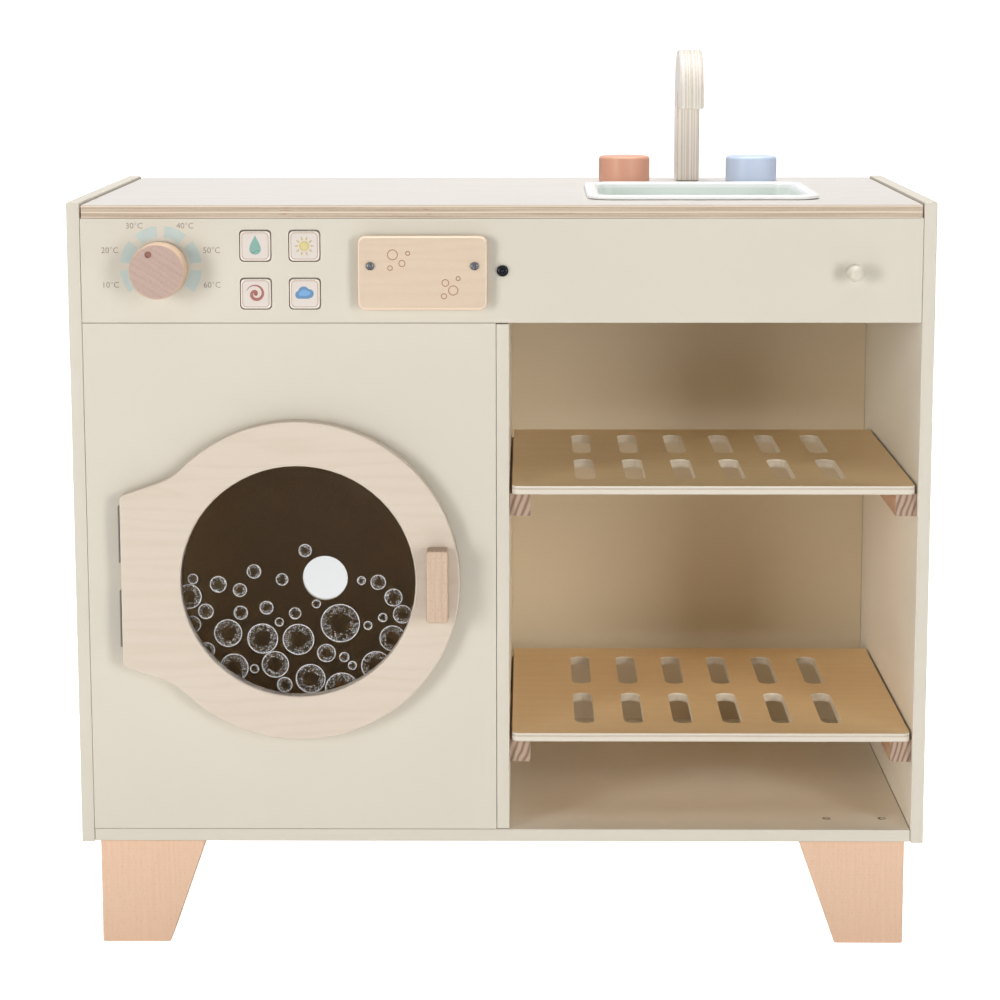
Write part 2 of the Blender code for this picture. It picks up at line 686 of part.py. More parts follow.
def door_outline():
    """The ring's circle, running out through two hollow sweeps into the straight hinge tab."""
    slope = math.radians(TAB_SLOPE_DEGREES)
    along = Vector((math.cos(slope), math.sin(slope)))
    outward = Vector((-math.sin(slope), math.cos(slope)))
    corner = Vector((-TAB_REACH, TAB_HEIGHT / 2))
    # The sweep's centre lies a sweep radius off the tab's sloping edge and off the ring's circle
    start = corner + outward * TAB_SWEEP_RADIUS
    across = start.dot(along)
    apart = start.length_squared - (RING_RADIUS + TAB_SWEEP_RADIUS) ** 2
    centre = start + along * (-across - math.sqrt(across**2 - apart))
    leaves = math.degrees(math.atan2(centre.y, centre.x))
    upper = arc((0, 0), RING_RADIUS, 0, leaves, LARGE_STEPS // 2 - CORNER_STEPS)
    upper += arc(centre, TAB_SWEEP_RADIUS, leaves - 180, TAB_SLOPE_DEGREES - 90, CORNER_STEPS)[1:]
    upper += corner_arc(centre - outward * TAB_SWEEP_RADIUS, corner, (-TAB_REACH, 0), TAB_CORNER_RADIUS)
    lower = [(across, -up) for across, up in reversed(upper)]
    return upper + lower[:-1]


def window_cutter():
    """Cuts the ring's round opening, its rounded front edge and, at the back, the window's seat."""
    seat_radius = WINDOW_RADIUS + WINDOW_LIP + WINDOW_CLEARANCE
    seat_depth = WINDOW_THICKNESS + SEAT_GAP * 2
    profile = [(0, -CUT_OVERRUN), (WINDOW_RADIUS + DOOR_EDGE, -CUT_OVERRUN)]
    profile += arc((WINDOW_RADIUS + DOOR_EDGE, DOOR_EDGE), DOOR_EDGE, 270, 180, EDGE_STEPS)
    profile += [
        (WINDOW_RADIUS, DOOR_THICKNESS - seat_depth),
        (seat_radius, DOOR_THICKNESS - seat_depth),
        (seat_radius, DOOR_THICKNESS + CUT_OVERRUN),
        (0, DOOR_THICKNESS + CUT_OVERRUN),
    ]
    return turned("window_opening", profile, "Y", (DOOR_X, DOOR_FRONT, DOOR_Z), LARGE_STEPS)


def door_ring():
    ring = prism("door_ring", door_outline(), "Y", DOOR_THICKNESS, (DOOR_X, DOOR_FRONT, DOOR_Z), PALE_PINE)
    soften(ring, DOOR_EDGE)
    cut(ring, window_cutter())
    radius = SCREW_RADIUS + SCREW_CLEARANCE
    start = DOOR_FRONT - CUT_OVERRUN
    for name, up in handle_screw_places():
        drill(ring, name, radius, "Y", (HANDLE_X, start, up), DOOR_THICKNESS + CUT_OVERRUN * 2)
        sink = SCREW_HEAD_HEIGHT + SEAT_GAP
        sunk = (HANDLE_X, DOOR_BACK - sink, up)
        drill(ring, name + "_head", SCREW_HEAD_RADIUS + SCREW_CLEARANCE, "Y", sunk, sink + CUT_OVERRUN)
    depth = MAGNET_THICKNESS - MAGNET_PROUD + SEAT_GAP
    sunk = (HANDLE_X, DOOR_BACK - depth, DOOR_Z)
    drill(ring, "door_magnet", MAGNET_RADIUS + SEAT_GAP, "Y", sunk, depth + CUT_OVERRUN)
    # Each hinge's knuckles lie in a notch at the tab's back corner
    for name, middle in hinge_places():
        room = HINGE_HEIGHT / 2 + PIN_END + KNUCKLE_CLEARANCE
        low, high = middle - room, middle + room
        outline = block(DOOR_X - TAB_REACH - CUT_OVERRUN, HINGE_X + HINGE_REACH, low, high)
        front = HINGE_Y - HINGE_REACH
        cut(ring, prism(name + "_notch", outline, "Y", DOOR_BACK + CUT_OVERRUN - front, (0, front, 0)))
    return ring


def door_window():
    radius = WINDOW_RADIUS + WINDOW_LIP
    place = (DOOR_X, DOOR_BACK - SEAT_GAP - WINDOW_THICKNESS, DOOR_Z)
    return prism("door_window", circle(radius, LARGE_STEPS), "Y", WINDOW_THICKNESS, place, CLEAR_SHEET)


def handle_screw_places():
    return [
        ("upper_handle_screw", DOOR_Z + HANDLE_SCREW_SPACING / 2),
        ("lower_handle_screw", DOOR_Z - HANDLE_SCREW_SPACING / 2),
    ]


def door_handle():
    """The beech bar on the ring, and the two screws that hold it from behind."""
    outline = rectangle(HANDLE_WIDTH, HANDLE_HEIGHT)
    back = DOOR_FRONT - SEAT_GAP
    place = (HANDLE_X, back - HANDLE_PROJECTION, DOOR_Z)
    handle = prism("door_handle", outline, "Y", HANDLE_PROJECTION, place, BEECH)
    soften(handle, HANDLE_EDGE)
    screws = []
    head = (SCREW_HEAD_RADIUS, SCREW_HEAD_HEIGHT)
    for name, up in handle_screw_places():
        depth = HANDLE_SCREW_BITE + SCREW_CLEARANCE
        pilot = (HANDLE_X, back - depth, up)
        drill(handle, name + "_pilot", SCREW_RADIUS + SCREW_CLEARANCE, "Y", pilot, depth + CUT_OVERRUN)
        length = DOOR_THICKNESS - SCREW_HEAD_HEIGHT + SEAT_GAP + HANDLE_SCREW_BITE
        seat = (HANDLE_X, DOOR_BACK - SCREW_HEAD_HEIGHT, up)
        screws.append(screw(name, "-Y", seat, SCREW_RADIUS, length, *head, STEEL))
    return [handle] + screws


def magnet(name, start):
    outline = circle(MAGNET_RADIUS, SMALL_STEPS)
    return prism(name, outline, "Y", MAGNET_THICKNESS, (HANDLE_X, start, DOOR_Z), STEEL)


def hinge_places():
    middle = DOOR_Z + HINGE_RISE
    return [("upper_hinge", middle + HINGE_SPACING / 2), ("lower_hinge", middle - HINGE_SPACING / 2)]


def knuckle_outline():
    """A knuckle, round the pin at (0, 0), and the strip that joins it to the back of its leaf."""
    inner = KNUCKLE_RADIUS - LEAF_THICKNESS
    meets = 360 + math.degrees(math.asin(inner / KNUCKLE_RADIUS))
    strip_end = HINGE_REACH + LEAF_THICKNESS
    round_side = arc((0, 0), KNUCKLE_RADIUS, 90, meets, SMALL_STEPS)
    return [(strip_end, KNUCKLE_RADIUS)] + round_side + [(strip_end, inner)]


def across_hinge(outline):
    """The same outline for the door's leaf, which stands square to the front board's leaf."""
    return [(-up, -across) for across, up in outline]


def hinge_leaf(name, middle, width, knuckles, facing, finish=STEEL):
    """A leaf with its knuckles, given as (low, high) shares of the hinge's height, and its pin hole."""
    bottom = middle - HINGE_HEIGHT / 2
    place = (HINGE_X, HINGE_Y, bottom)
    plate = facing(block(HINGE_REACH, width, KNUCKLE_RADIUS - LEAF_THICKNESS, KNUCKLE_RADIUS))
    leaf = prism(name, plate, "Z", HINGE_HEIGHT, place, finish)
    for number, (low_share, high_share) in enumerate(knuckles):
        low = low_share * HINGE_HEIGHT + (SEAT_GAP / 2 if low_share > 0 else 0)
        high = high_share * HINGE_HEIGHT - (SEAT_GAP / 2 if high_share < 1 else 0)
        outline = facing(knuckle_outline())
        place = (HINGE_X, HINGE_Y, bottom + low)
        join(leaf, prism(f"{name}_knuckle_{number}", outline, "Z", high - low, place))
    start = (HINGE_X, HINGE_Y, bottom - CUT_OVERRUN)
    drill(leaf, name + "_pin", PIN_RADIUS + PIN_CLEARANCE, "Z", start, HINGE_HEIGHT + CUT_OVERRUN * 2)
    return leaf


def hinges():
    """Both butt hinges. Returns the leaves that swing with the door."""
    door_leaves = []
    for name, middle in hinge_places():
        outer_shares = [(0, 1 / 3), (2 / 3, 1)]
        middle_shares = [(1 / 3, 2 / 3)]
        hinge_leaf(name + "_board_leaf", middle, BOARD_LEAF_WIDTH, outer_shares, lambda outline: outline)
        door_leaves.append(
            hinge_leaf(name + "_door_leaf", middle, DOOR_LEAF_WIDTH, middle_shares, across_hinge)
        )
        start = (HINGE_X, HINGE_Y, middle - HINGE_HEIGHT / 2 - PIN_END)
        prism(name + "_pin", circle(PIN_RADIUS, SMALL_STEPS), "Z", HINGE_HEIGHT + PIN_END * 2, start, STEEL)
    return door_leaves


def door():
    swing = axis_empty("door_axis", (HINGE_X, HINGE_Y, DOOR_Z))
    hold(swing, door_ring(), door_window(), *door_handle(), *hinges())
    hold(swing, magnet("door_magnet", DOOR_BACK + MAGNET_PROUD - MAGNET_THICKNESS))
    magnet("board_magnet", FRONT - MAGNET_PROUD)


# Dial


def dial():
    """The turned knob with its sunk dot, on a bolt that turns in the control board."""
    back = FRONT - WASHER_THICKNESS - SEAT_GAP * 2
    profile = [(0, 0), (DIAL_RADIUS - DIAL_EDGE, 0), (DIAL_RADIUS, DIAL_EDGE)]
    profile += arc((DIAL_RADIUS - DIAL_EDGE, DIAL_DEPTH - DIAL_EDGE), DIAL_EDGE, 0, 90, EDGE_STEPS)
    profile.append((0, DIAL_DEPTH))
    knob = turned("dial_knob", profile, "-Y", (DIAL_X, back, DIAL_Z), LARGE_STEPS // 2, STAINED_BEECH)
    angle = math.radians(DOT_ANGLE_DEGREES)
    dot = (DIAL_X + DOT_PLACE_RADIUS * math.cos(angle), DIAL_Z + DOT_PLACE_RADIUS * math.sin(angle))
    face = back - DIAL_DEPTH
    drill(knob, "dot", DOT_RADIUS, "Y", (dot[0], face - CUT_OVERRUN, dot[1]), DOT_SINK + CUT_OVERRUN)
    bore = DIAL_BOLT_BITE + BOLT_CLEARANCE
    drill(knob, "bore", BOLT_RADIUS + BOLT_CLEARANCE, "Y", (DIAL_X, back - bore, DIAL_Z), bore + CUT_OVERRUN)
    seat = (DIAL_X, CONTROL_BACK + SEAT_GAP, DIAL_Z)
    length = seat[1] - back + DIAL_BOLT_BITE
    bolt = screw("dial_bolt", "-Y", seat, BOLT_RADIUS, length, BOLT_HEAD_RADIUS, BOLT_HEAD_HEIGHT, STEEL)
    hold(axis_empty("dial_axis", (DIAL_X, FRONT, DIAL_Z)), knob, bolt)
    inner = BOLT_RADIUS + BOLT_CLEARANCE
    ring = [(inner, 0), (WASHER_RADIUS, 0), (WASHER_RADIUS, WASHER_THICKNESS), (inner, WASHER_THICKNESS)]
    place = (DIAL_X, FRONT - SEAT_GAP, DIAL_Z)
    turned("dial_washer", ring, "-Y", place, SMALL_STEPS, GREY_MOULDING, hollow=True)


# Push buttons


def button_places():
    places = []
    for row, up in (("upper", BUTTON_PITCH_UP / 2), ("lower", -BUTTON_PITCH_UP / 2)):
        for side, across in (("left", -BUTTON_PITCH_ACROSS / 2), ("right", BUTTON_PITCH_ACROSS / 2)):
            places.append((f"{row}_{side}_button", BUTTONS_X + across, BUTTONS_Z + up))
    return places


def push_button(name, across, up):
    """A square block with soft edges, and the flange behind the board that keeps it in."""
    size = BUTTON_HOLE - BUTTON_CLEARANCE * 2
    outline = rounded_rectangle(size, size, BUTTON_CORNER_RADIUS)
    front = FRONT - BUTTON_PROUD
    button = prism(name, outline, "Y", BUTTON_FLANGE_BACK - front, (across, front, up), PALE_PINE)
    soften(button, BUTTON_EDGE, 1)
    flange = rectangle(FLANGE_SIZE, FLANGE_SIZE)
    start = BUTTON_FLANGE_BACK - FLANGE_THICKNESS
    join(button, prism(name + "_flange", flange, "Y", FLANGE_THICKNESS, (across, start, up)))
    hold(axis_empty(name + "_axis", (across, front, up)), button)


def button_spring(name, across, up):
    """A coil of round wire that pushes its button out."""
    spline_data = bpy.data.curves.new(name, "CURVE")
    spline_data.dimensions = "3D"
    spline_data.bevel_depth = SPRING_WIRE_RADIUS
    spline_data.bevel_resolution = 0
    spline_data.use_fill_caps = True
    around = SMALL_STEPS // 2
    count = SPRING_TURNS * around + 1
    spline = spline_data.splines.new("POLY")
    spline.points.add(count - 1)
    rise = SPRING_LENGTH - SPRING_WIRE_RADIUS * 2
    for index, point in enumerate(spline.points):
        angle = math.tau * index / around
        along = SPRING_WIRE_RADIUS + rise * index / (count - 1)
        point.co = (SPRING_RADIUS * math.cos(angle), along, SPRING_RADIUS * math.sin(angle), 1)
    spline_data.materials.append(finish_of(STEEL))
    spring = bpy.data.objects.new(name, spline_data)
    spring.location = (across, BUTTON_FLANGE_BACK + SEAT_GAP, up)
    bpy.context.scene.collection.objects.link(spring)


def button_housing():
    """The open tray behind the board that the springs stand in, each round its own peg."""
    outer = rectangle(HOUSING_WIDTH, HOUSING_HEIGHT)
    start = CONTROL_BACK + SEAT_GAP
    depth = HOUSING_FLOOR + HOUSING_WALL - start
    housing = prism("button_housing", outer, "Y", depth, (BUTTONS_X, start, BUTTONS_Z), GREY_MOULDING)
    hollow = rectangle(HOUSING_WIDTH - HOUSING_WALL * 2, HOUSING_HEIGHT - HOUSING_WALL * 2)
    place = (BUTTONS_X, start - CUT_OVERRUN, BUTTONS_Z)
    cut(housing, prism("housing_hollow", hollow, "Y", HOUSING_FLOOR - start + CUT_OVERRUN, place))
    for name, across, up in button_places():
        place = (across, HOUSING_FLOOR - SPRING_PEG_HEIGHT, up)
        outline = circle(SPRING_PEG_RADIUS, SMALL_STEPS // 2)
        join(housing, prism(name + "_spring_peg", outline, "Y", SPRING_PEG_HEIGHT + HOUSING_WALL / 2, place))


def buttons():
    for name, across, up in button_places():
        push_button(name, across, up)
        button_spring(name.replace("button", "spring"), across, up)
    button_housing()


# Soap drawer


def soap_screw_places():
    apart = SOAP_SCREW_SPACING / 2
    return [("left_soap_screw", SOAP_X - apart), ("right_soap_screw", SOAP_X + apart)]


def soap_plate():
    outline = rounded_rectangle(SOAP_WIDTH, SOAP_HEIGHT, SOAP_CORNER_RADIUS)
    front = FRONT - SEAT_GAP - SOAP_THICKNESS
    plate = prism("soap_plate", outline, "Y", SOAP_THICKNESS, (SOAP_X, front, SOAP_Z), BEECH)
    soften(plate, SOAP_EDGE)
    for name, across in soap_screw_places():
        start = (across, front - CUT_OVERRUN, SOAP_Z + SOAP_SCREW_RISE)
        drill(plate, name, SCREW_RADIUS + SCREW_CLEARANCE, "Y", start, SOAP_THICKNESS + CUT_OVERRUN * 2)
    return plate


def soap_tray():
    """The drawer's box, open on top. Its back stands higher than the opening, and so stops it there."""
    half = TRAY_WIDTH / 2
    bottom, top = -TRAY_HEIGHT / 2, TRAY_HEIGHT / 2
    box = block(-half, half, bottom, top)
    tray = prism("soap_tray", box, "Y", TRAY_BACK - FRONT, (SOAP_X, FRONT, SOAP_Z), PALE_PINE)
    stop = block(-half, half, bottom + TRAY_FLOOR, top + TRAY_STOP)
    join(tray, prism("tray_stop", stop, "Y", TRAY_WALL, (SOAP_X, TRAY_STOP_FRONT, SOAP_Z)))
    hollow = block(-half + TRAY_WALL, half - TRAY_WALL, bottom + TRAY_FLOOR, top + CUT_OVERRUN)
    start = FRONT - CUT_OVERRUN
    cut(tray, prism("tray_hollow", hollow, "Y", TRAY_STOP_FRONT - start, (SOAP_X, start, SOAP_Z)))
    for name, across in soap_screw_places():
        depth = SOAP_SCREW_BITE + SCREW_CLEARANCE + CUT_OVERRUN
        place = (across, start, SOAP_Z + SOAP_SCREW_RISE)
        drill(tray, name + "_pilot", SCREW_RADIUS + SCREW_CLEARANCE, "Y", place, depth)
    return tray


def soap_screws():
    length = SOAP_THICKNESS + SEAT_GAP * 2 + SOAP_SCREW_BITE
    seat = FRONT - SOAP_THICKNESS - SEAT_GAP * 2
    made = []
    head = (SCREW_HEAD_RADIUS, SCREW_HEAD_HEIGHT)
    for name, across in soap_screw_places():
        place = (across, seat, SOAP_Z + SOAP_SCREW_RISE)
        made.append(screw(name, "Y", place, SCREW_RADIUS, length, *head, STEEL))
    return made


def soap_runner():
    """The box behind the control board, open in front and on top, that the tray slides in."""
    inner = TRAY_WIDTH / 2 + DRAWER_CLEARANCE
    floor = -TRAY_HEIGHT / 2 - SEAT_GAP
    outer = block(-inner - RUNNER_WALL, inner + RUNNER_WALL, floor - RUNNER_WALL, floor + RUNNER_HEIGHT)
    start = CONTROL_BACK + SEAT_GAP
    back = TRAY_BACK + TRAY_BACK_SPACE
    runner = prism("soap_runner", outer, "Y", back + RUNNER_WALL - start, (SOAP_X, start, SOAP_Z), PALE_PINE)
    hollow = block(-inner, inner, floor, floor + RUNNER_HEIGHT + CUT_OVERRUN)
    place = (SOAP_X, start - CUT_OVERRUN, SOAP_Z)
    cut(runner, prism("runner_hollow", hollow, "Y", back - start + CUT_OVERRUN, place))


def soap_drawer():
    hold(axis_empty("soap_drawer_axis", (SOAP_X, FRONT, SOAP_Z)), soap_plate(), soap_tray(), *soap_screws())
    soap_runner()


# Sink, tap knobs and spout


def sink_outline(grow):
    """The rim's outline, grown or shrunk all round, with its corners tightening as it shrinks."""
    radius = RIM_CORNER_RADIUS + grow * RIM_CORNER_SHARE
    return rounded_rectangle(RIM_WIDTH + grow * 2, RIM_DEPTH + grow * 2, radius)


def sink_basin():
    """A moulded basin hung by its rolled rim: up the outside, over the rim and down the inside."""
    mouth = -RIM_FLANGE
    foot = mouth - BASIN_DRAFT
    top = RIM_HEIGHT
    inside_bottom = top - BASIN_DEPTH
    curve = (foot - BASIN_FOOT_RADIUS, inside_bottom + BASIN_FOOT_RADIUS)
    path = arc(curve, BASIN_FOOT_RADIUS + BASIN_WALL, 270, 360, CORNER_STEPS)
    path.append((mouth + BASIN_WALL, 0))
    path += arc((-RIM_ROLL, RIM_ROLL), RIM_ROLL, 270, 360, EDGE_STEPS)
    path += arc((-RIM_ROLL, top - RIM_ROLL), RIM_ROLL, 0, 90, EDGE_STEPS)
    path += arc((mouth + BASIN_WALL, top - BASIN_WALL), BASIN_WALL, 90, 180, EDGE_STEPS)
    path += arc(curve, BASIN_FOOT_RADIUS, 360, 270, CORNER_STEPS)
    rings = [(sink_outline(grow), height) for grow, height in path]
    place = (SINK_X, SINK_Y, WORKTOP_TOP + SEAT_GAP)
    return loft("sink_basin", rings, place, SINK_WHITE)


def bolt_from_below(name, across, behind, bite):
    """A bolt up through the worktop, its head under the board."""
    seat = (across, behind, WORKTOP_UNDER - SEAT_GAP)
    length = WORKTOP_THICKNESS + SEAT_GAP * 2 + bite
    return screw(name, "Z", seat, BOLT_RADIUS, length, BOLT_HEAD_RADIUS, BOLT_HEAD_HEIGHT, STEEL)


def bore_from_below(piece, name, across, behind, bite):
    place = (across, behind, WORKTOP_TOP + SEAT_GAP - CUT_OVERRUN)
    drill(piece, name, BOLT_RADIUS + BOLT_CLEARANCE, "Z", place, bite + BOLT_CLEARANCE + CUT_OVERRUN)


def tap_knob(name, across, finish):
    """A plain round knob with a soft upper edge, on a bolt that turns in the worktop."""
    place = (across, TAP_Y, WORKTOP_TOP + SEAT_GAP)
    profile = [(0, 0), (TAP_RADIUS, 0)]
    profile += arc((TAP_RADIUS - TAP_EDGE, TAP_HEIGHT - TAP_EDGE), TAP_EDGE, 0, 90, CORNER_STEPS)
    profile.append((0, TAP_HEIGHT))
    knob = turned(name + "_tap_knob", profile, "Z", place, ROUND_STEPS, finish)
    bore_from_below(knob, name + "_bore", across, TAP_Y, TAP_BOLT_BITE)
    bolt = bolt_from_below(name + "_tap_bolt", across, TAP_Y, TAP_BOLT_BITE)
    hold(axis_empty(name + "_tap_axis", place), knob, bolt)


def spout():
    """A gooseneck sawn from thick ply: a post, a half circle over the sink and a short tip."""
    outer = SPOUT_BAND + SPOUT_GAP / 2
    inner = SPOUT_GAP / 2
    rise = SPOUT_HEIGHT - outer
    middle = SPOUT_BAND / 2 - outer
    outline = [(SPOUT_BAND / 2, 0)]
    outline += arc((middle, rise), outer, 0, 180, ROUND_STEPS // 2)
    outline += [(middle - outer, rise - SPOUT_TIP), (middle - inner, rise - SPOUT_TIP)]
    outline += arc((middle, rise), inner, 180, 0, SMALL_STEPS // 2)
    outline.append((-SPOUT_BAND / 2, 0))
    bottom = WORKTOP_TOP + SEAT_GAP
    start = (SINK_X - SPOUT_THICKNESS / 2, SPOUT_Y, bottom)
    neck = soften(prism("spout", outline, "X", SPOUT_THICKNESS, start, BIRCH_PLY), SPOUT_EDGE, 1)
    bore_from_below(neck, "spout_bore", SINK_X, SPOUT_Y, SPOUT_BOLT_BITE)
    bolt = bolt_from_below("spout_bolt", SINK_X, SPOUT_Y, SPOUT_BOLT_BITE)
    hold(axis_empty("spout_axis", (SINK_X, SPOUT_Y, bottom)), neck, bolt)


def build():
    clear_scene()
    side_board("left_side_board", -WIDTH / 2)
    side_board("right_side_board", INSIDE_RIGHT)
    floor_board()
    divider_board()
    back_board()
    worktop()
    front_board()
    control_board()
    control_screw()
    cloth_peg()
    legs()
    for name, under in (("upper", UPPER_SHELF_UNDER), ("lower", LOWER_SHELF_UNDER)):
        shelf(name + "_shelf", under)
        battens(name, under)
    door()
    dial()
    buttons()
    soap_drawer()
    sink_basin()
    tap_knob("warm", WARM_X, TERRACOTTA)
    tap_knob("cold", COLD_X, SKY_BLUE)
    spout()


build()
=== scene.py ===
"""The looks of a wooden toy washing machine with a sink beside it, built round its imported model."""

import json
import math
import random
from functools import cache

import bmesh
import bpy
from bpy.props import FloatProperty, FloatVectorProperty, IntProperty, PointerProperty
from mathutils import Matrix, Vector

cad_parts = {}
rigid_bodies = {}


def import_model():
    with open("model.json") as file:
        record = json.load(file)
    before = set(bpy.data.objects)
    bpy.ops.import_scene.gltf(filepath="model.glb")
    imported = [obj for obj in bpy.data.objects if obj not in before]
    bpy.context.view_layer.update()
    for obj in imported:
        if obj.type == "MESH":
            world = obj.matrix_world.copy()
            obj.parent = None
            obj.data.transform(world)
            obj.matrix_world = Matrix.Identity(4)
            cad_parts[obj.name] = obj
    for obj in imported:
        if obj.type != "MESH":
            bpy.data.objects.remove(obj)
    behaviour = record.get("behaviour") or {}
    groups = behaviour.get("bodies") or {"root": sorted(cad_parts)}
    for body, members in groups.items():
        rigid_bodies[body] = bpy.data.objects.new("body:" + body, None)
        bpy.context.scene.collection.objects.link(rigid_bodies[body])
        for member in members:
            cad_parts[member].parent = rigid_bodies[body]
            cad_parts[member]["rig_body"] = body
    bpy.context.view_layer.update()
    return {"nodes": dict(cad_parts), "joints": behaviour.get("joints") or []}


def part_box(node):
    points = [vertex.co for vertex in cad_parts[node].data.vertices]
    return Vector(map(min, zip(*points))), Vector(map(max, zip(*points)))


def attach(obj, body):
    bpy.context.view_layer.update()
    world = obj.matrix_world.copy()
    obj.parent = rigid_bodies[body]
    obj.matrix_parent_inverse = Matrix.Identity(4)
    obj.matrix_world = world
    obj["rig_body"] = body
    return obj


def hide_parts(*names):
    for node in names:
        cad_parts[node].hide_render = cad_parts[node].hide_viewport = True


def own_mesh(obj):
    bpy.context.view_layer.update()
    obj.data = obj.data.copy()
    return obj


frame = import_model()

bl_info = {
    "name": "Toy washing machine",
    "version": (1, 0, 0),
    "blender": (4, 5, 0),
    "location": "View3D > Sidebar > Toy washer",
    "description": "Dresses the packed model of a wooden toy washing machine and lights it",
    "category": "Object",
}

CABINET = "cabinet"
DOOR = "door"
LEVELS = ("upper", "lower")
ROWS = ("front", "back")
SIDES = ("left", "right")
SIGNS = (-1, 1)
NEAR = Vector((0, -1, 0))

# Shapes, in metres and radians
MERGE = 0.000001
FLAT_ANGLE = math.radians(0.4)
SHARP_ANGLE = math.radians(50)
TURN_STEPS = 64
PRINT_GAP = 0.00004
PRINT_THICKNESS = 0.00006
FRONT_BOARD_LIFT = 0.00045
HAIR = 0.0002

# The froth's layout
PRINT_MARGIN = 0.0012
LAYOUT_MARGIN = 0.004
BUBBLE_GAP = 0.0004
BIG_SHARE = 0.4
MOST_BUBBLES = 38

# How white the studio looks to the camera
PLAIN_WHITE = 1.2


def seen(red, green, blue):
    """A colour as the eye names it, 0 to 255, turned into the one that a shader takes."""
    turned_in = []
    for value in (red, green, blue):
        share = value / 255
        turned_in.append(share / 12.92 if share <= 0.04045 else ((share + 0.055) / 1.055) ** 2.4)
    return tuple(turned_in)


def distance(name, value, text):
    return FloatProperty(name=name, description=text, default=value, min=0, unit="LENGTH", subtype="DISTANCE")


def share(name, value, text, high=1.0):
    return FloatProperty(name=name, description=text, default=value, min=0, max=high, subtype="FACTOR")


def angle(name, degrees, text):
    turn = math.radians(degrees)
    return FloatProperty(name=name, description=text, default=turn, subtype="ANGLE", unit="ROTATION")


def tint(name, value, text):
    return FloatVectorProperty(name=name, description=text, default=value, min=0, max=1, subtype="COLOR")


def quantity(name, value, text):
    return FloatProperty(name=name, description=text, default=value, min=0)


class PaintSettings(bpy.types.PropertyGroup):
    """Colours of the painted and moulded pieces."""

    cream: tint("Cream lacquer", seen(214, 207, 192), "Colour of the lacquered boards and the peg")
    # Painted light: a paler cream than the lacquer, only inside the shelf room, to stand for more light there.
    room: tint("Shelf room paint", seen(245, 237, 221), "Colour of the boards inside the shelf room")
    # Painted shade: browner and darker than the shelf room's walls, to stand for the brown shade deep in the
    # room.
    back: tint("Back board paint, browner as painted shade", seen(231, 214, 184), "Colour of the back board inside the shelf room")
    raw_inside: tint("Raw hardboard", seen(195, 166, 118), "Colour inside the wash compartment")
    # Painted shade: a dark brown that stands for the shade on the walls of the button holes.
    painted_hole_shade: tint("Painted shade in the button holes", seen(62, 48, 36), "Colour of the walls of the button holes")
    terracotta: tint("Warm knob", seen(222, 166, 140), "Colour of the warm tap knob")
    sky: tint("Cold knob", seen(204, 219, 243), "Colour of the cold tap knob")
    basin_white: tint("Basin rim", seen(250, 251, 250), "Colour of the sink's rolled rim")
    basin_mint: tint("Basin inside", seen(229, 237, 231), "Colour inside the sink")
    moulding: tint("Grey moulding", seen(158, 158, 153), "Colour of the hidden moulded pieces")
    roughness: share("Lacquer roughness", 0.42, "Roughness of the lacquered boards")
    peel: distance("Orange peel", 0.00003, "Height of the lacquer's fine waves")


class TimberSettings(bpy.types.PropertyGroup):
    """Colours of the bare wood."""

    birch: tint("Worktop birch", seen(220, 215, 210), "Pale tone of the worktop's veneer")
    birch_dark: tint("Worktop birch, dark", seen(210, 198, 184), "Dark tone of the worktop's veneer")
    shelf: tint("Shelf birch", seen(250, 218, 168), "Pale tone of the oiled shelves")
    shelf_dark: tint("Shelf birch, dark", seen(238, 197, 144), "Dark tone of the oiled shelves")
    pine: tint("Door wood", seen(216, 202, 186), "Pale tone of the door ring")
    pine_dark: tint("Door wood, dark", seen(201, 183, 161), "Dark tone of the door ring")
    beech: tint("Beech", seen(230, 194, 166), "Pale tone of the legs")
    beech_dark: tint("Beech, dark", seen(210, 167, 136), "Dark tone of the legs")
    handle: tint("Handle", seen(208, 182, 159), "Pale tone of the door handle")
    handle_dark: tint("Handle, dark", seen(182, 148, 124), "Dark tone of the door handle")
    soap: tint("Soap plate", seen(219, 198, 175), "Pale tone of the soap drawer's front")
    soap_dark: tint("Soap plate, dark", seen(206, 178, 150), "Dark tone of the soap drawer's front")
    stained: tint("Dial", seen(192, 166, 154), "Pale tone of the stained dial")
    stained_dark: tint("Dial, dark", seen(168, 136, 122), "Dark tone of the stained dial")
    dial_side: tint("Dial side", seen(212, 182, 154), "Colour of the dial's unstained side")
    batten: tint("Batten", seen(200, 165, 136), "Pale tone of the shelf battens")
    batten_dark: tint("Batten, dark", seen(160, 118, 88), "Dark tone of the shelf battens")
    glue: tint("Glue line", seen(158, 126, 98), "Colour between the layers of the ply")


class DialSettings(bpy.types.PropertyGroup):
    """The turned dial and the scale printed behind it."""

    inner: distance("Inner radius", 0.0205, "Inner radius of the printed scale")
    outer: distance("Outer radius", 0.0283, "Outer radius of the printed scale")
    marks: IntProperty(name="Marks", description="Number of printed marks", default=6, min=1, max=24)
    first: angle("First mark", 202, "Where the first mark stands, from the right, anticlockwise")
    step: angle("Step", -44.8, "Turn from one mark to the next")
    sweep: angle("Sweep", 32.5, "Angle that one mark covers")
    lettering: distance("Lettering", 0.0058, "Height of the printed numbers")
    scale_ink: tint("Scale ink", seen(190, 204, 199), "Colour of the printed marks")
    letter_ink: tint("Letter ink", seen(134, 115, 106), "Colour of the printed numbers")


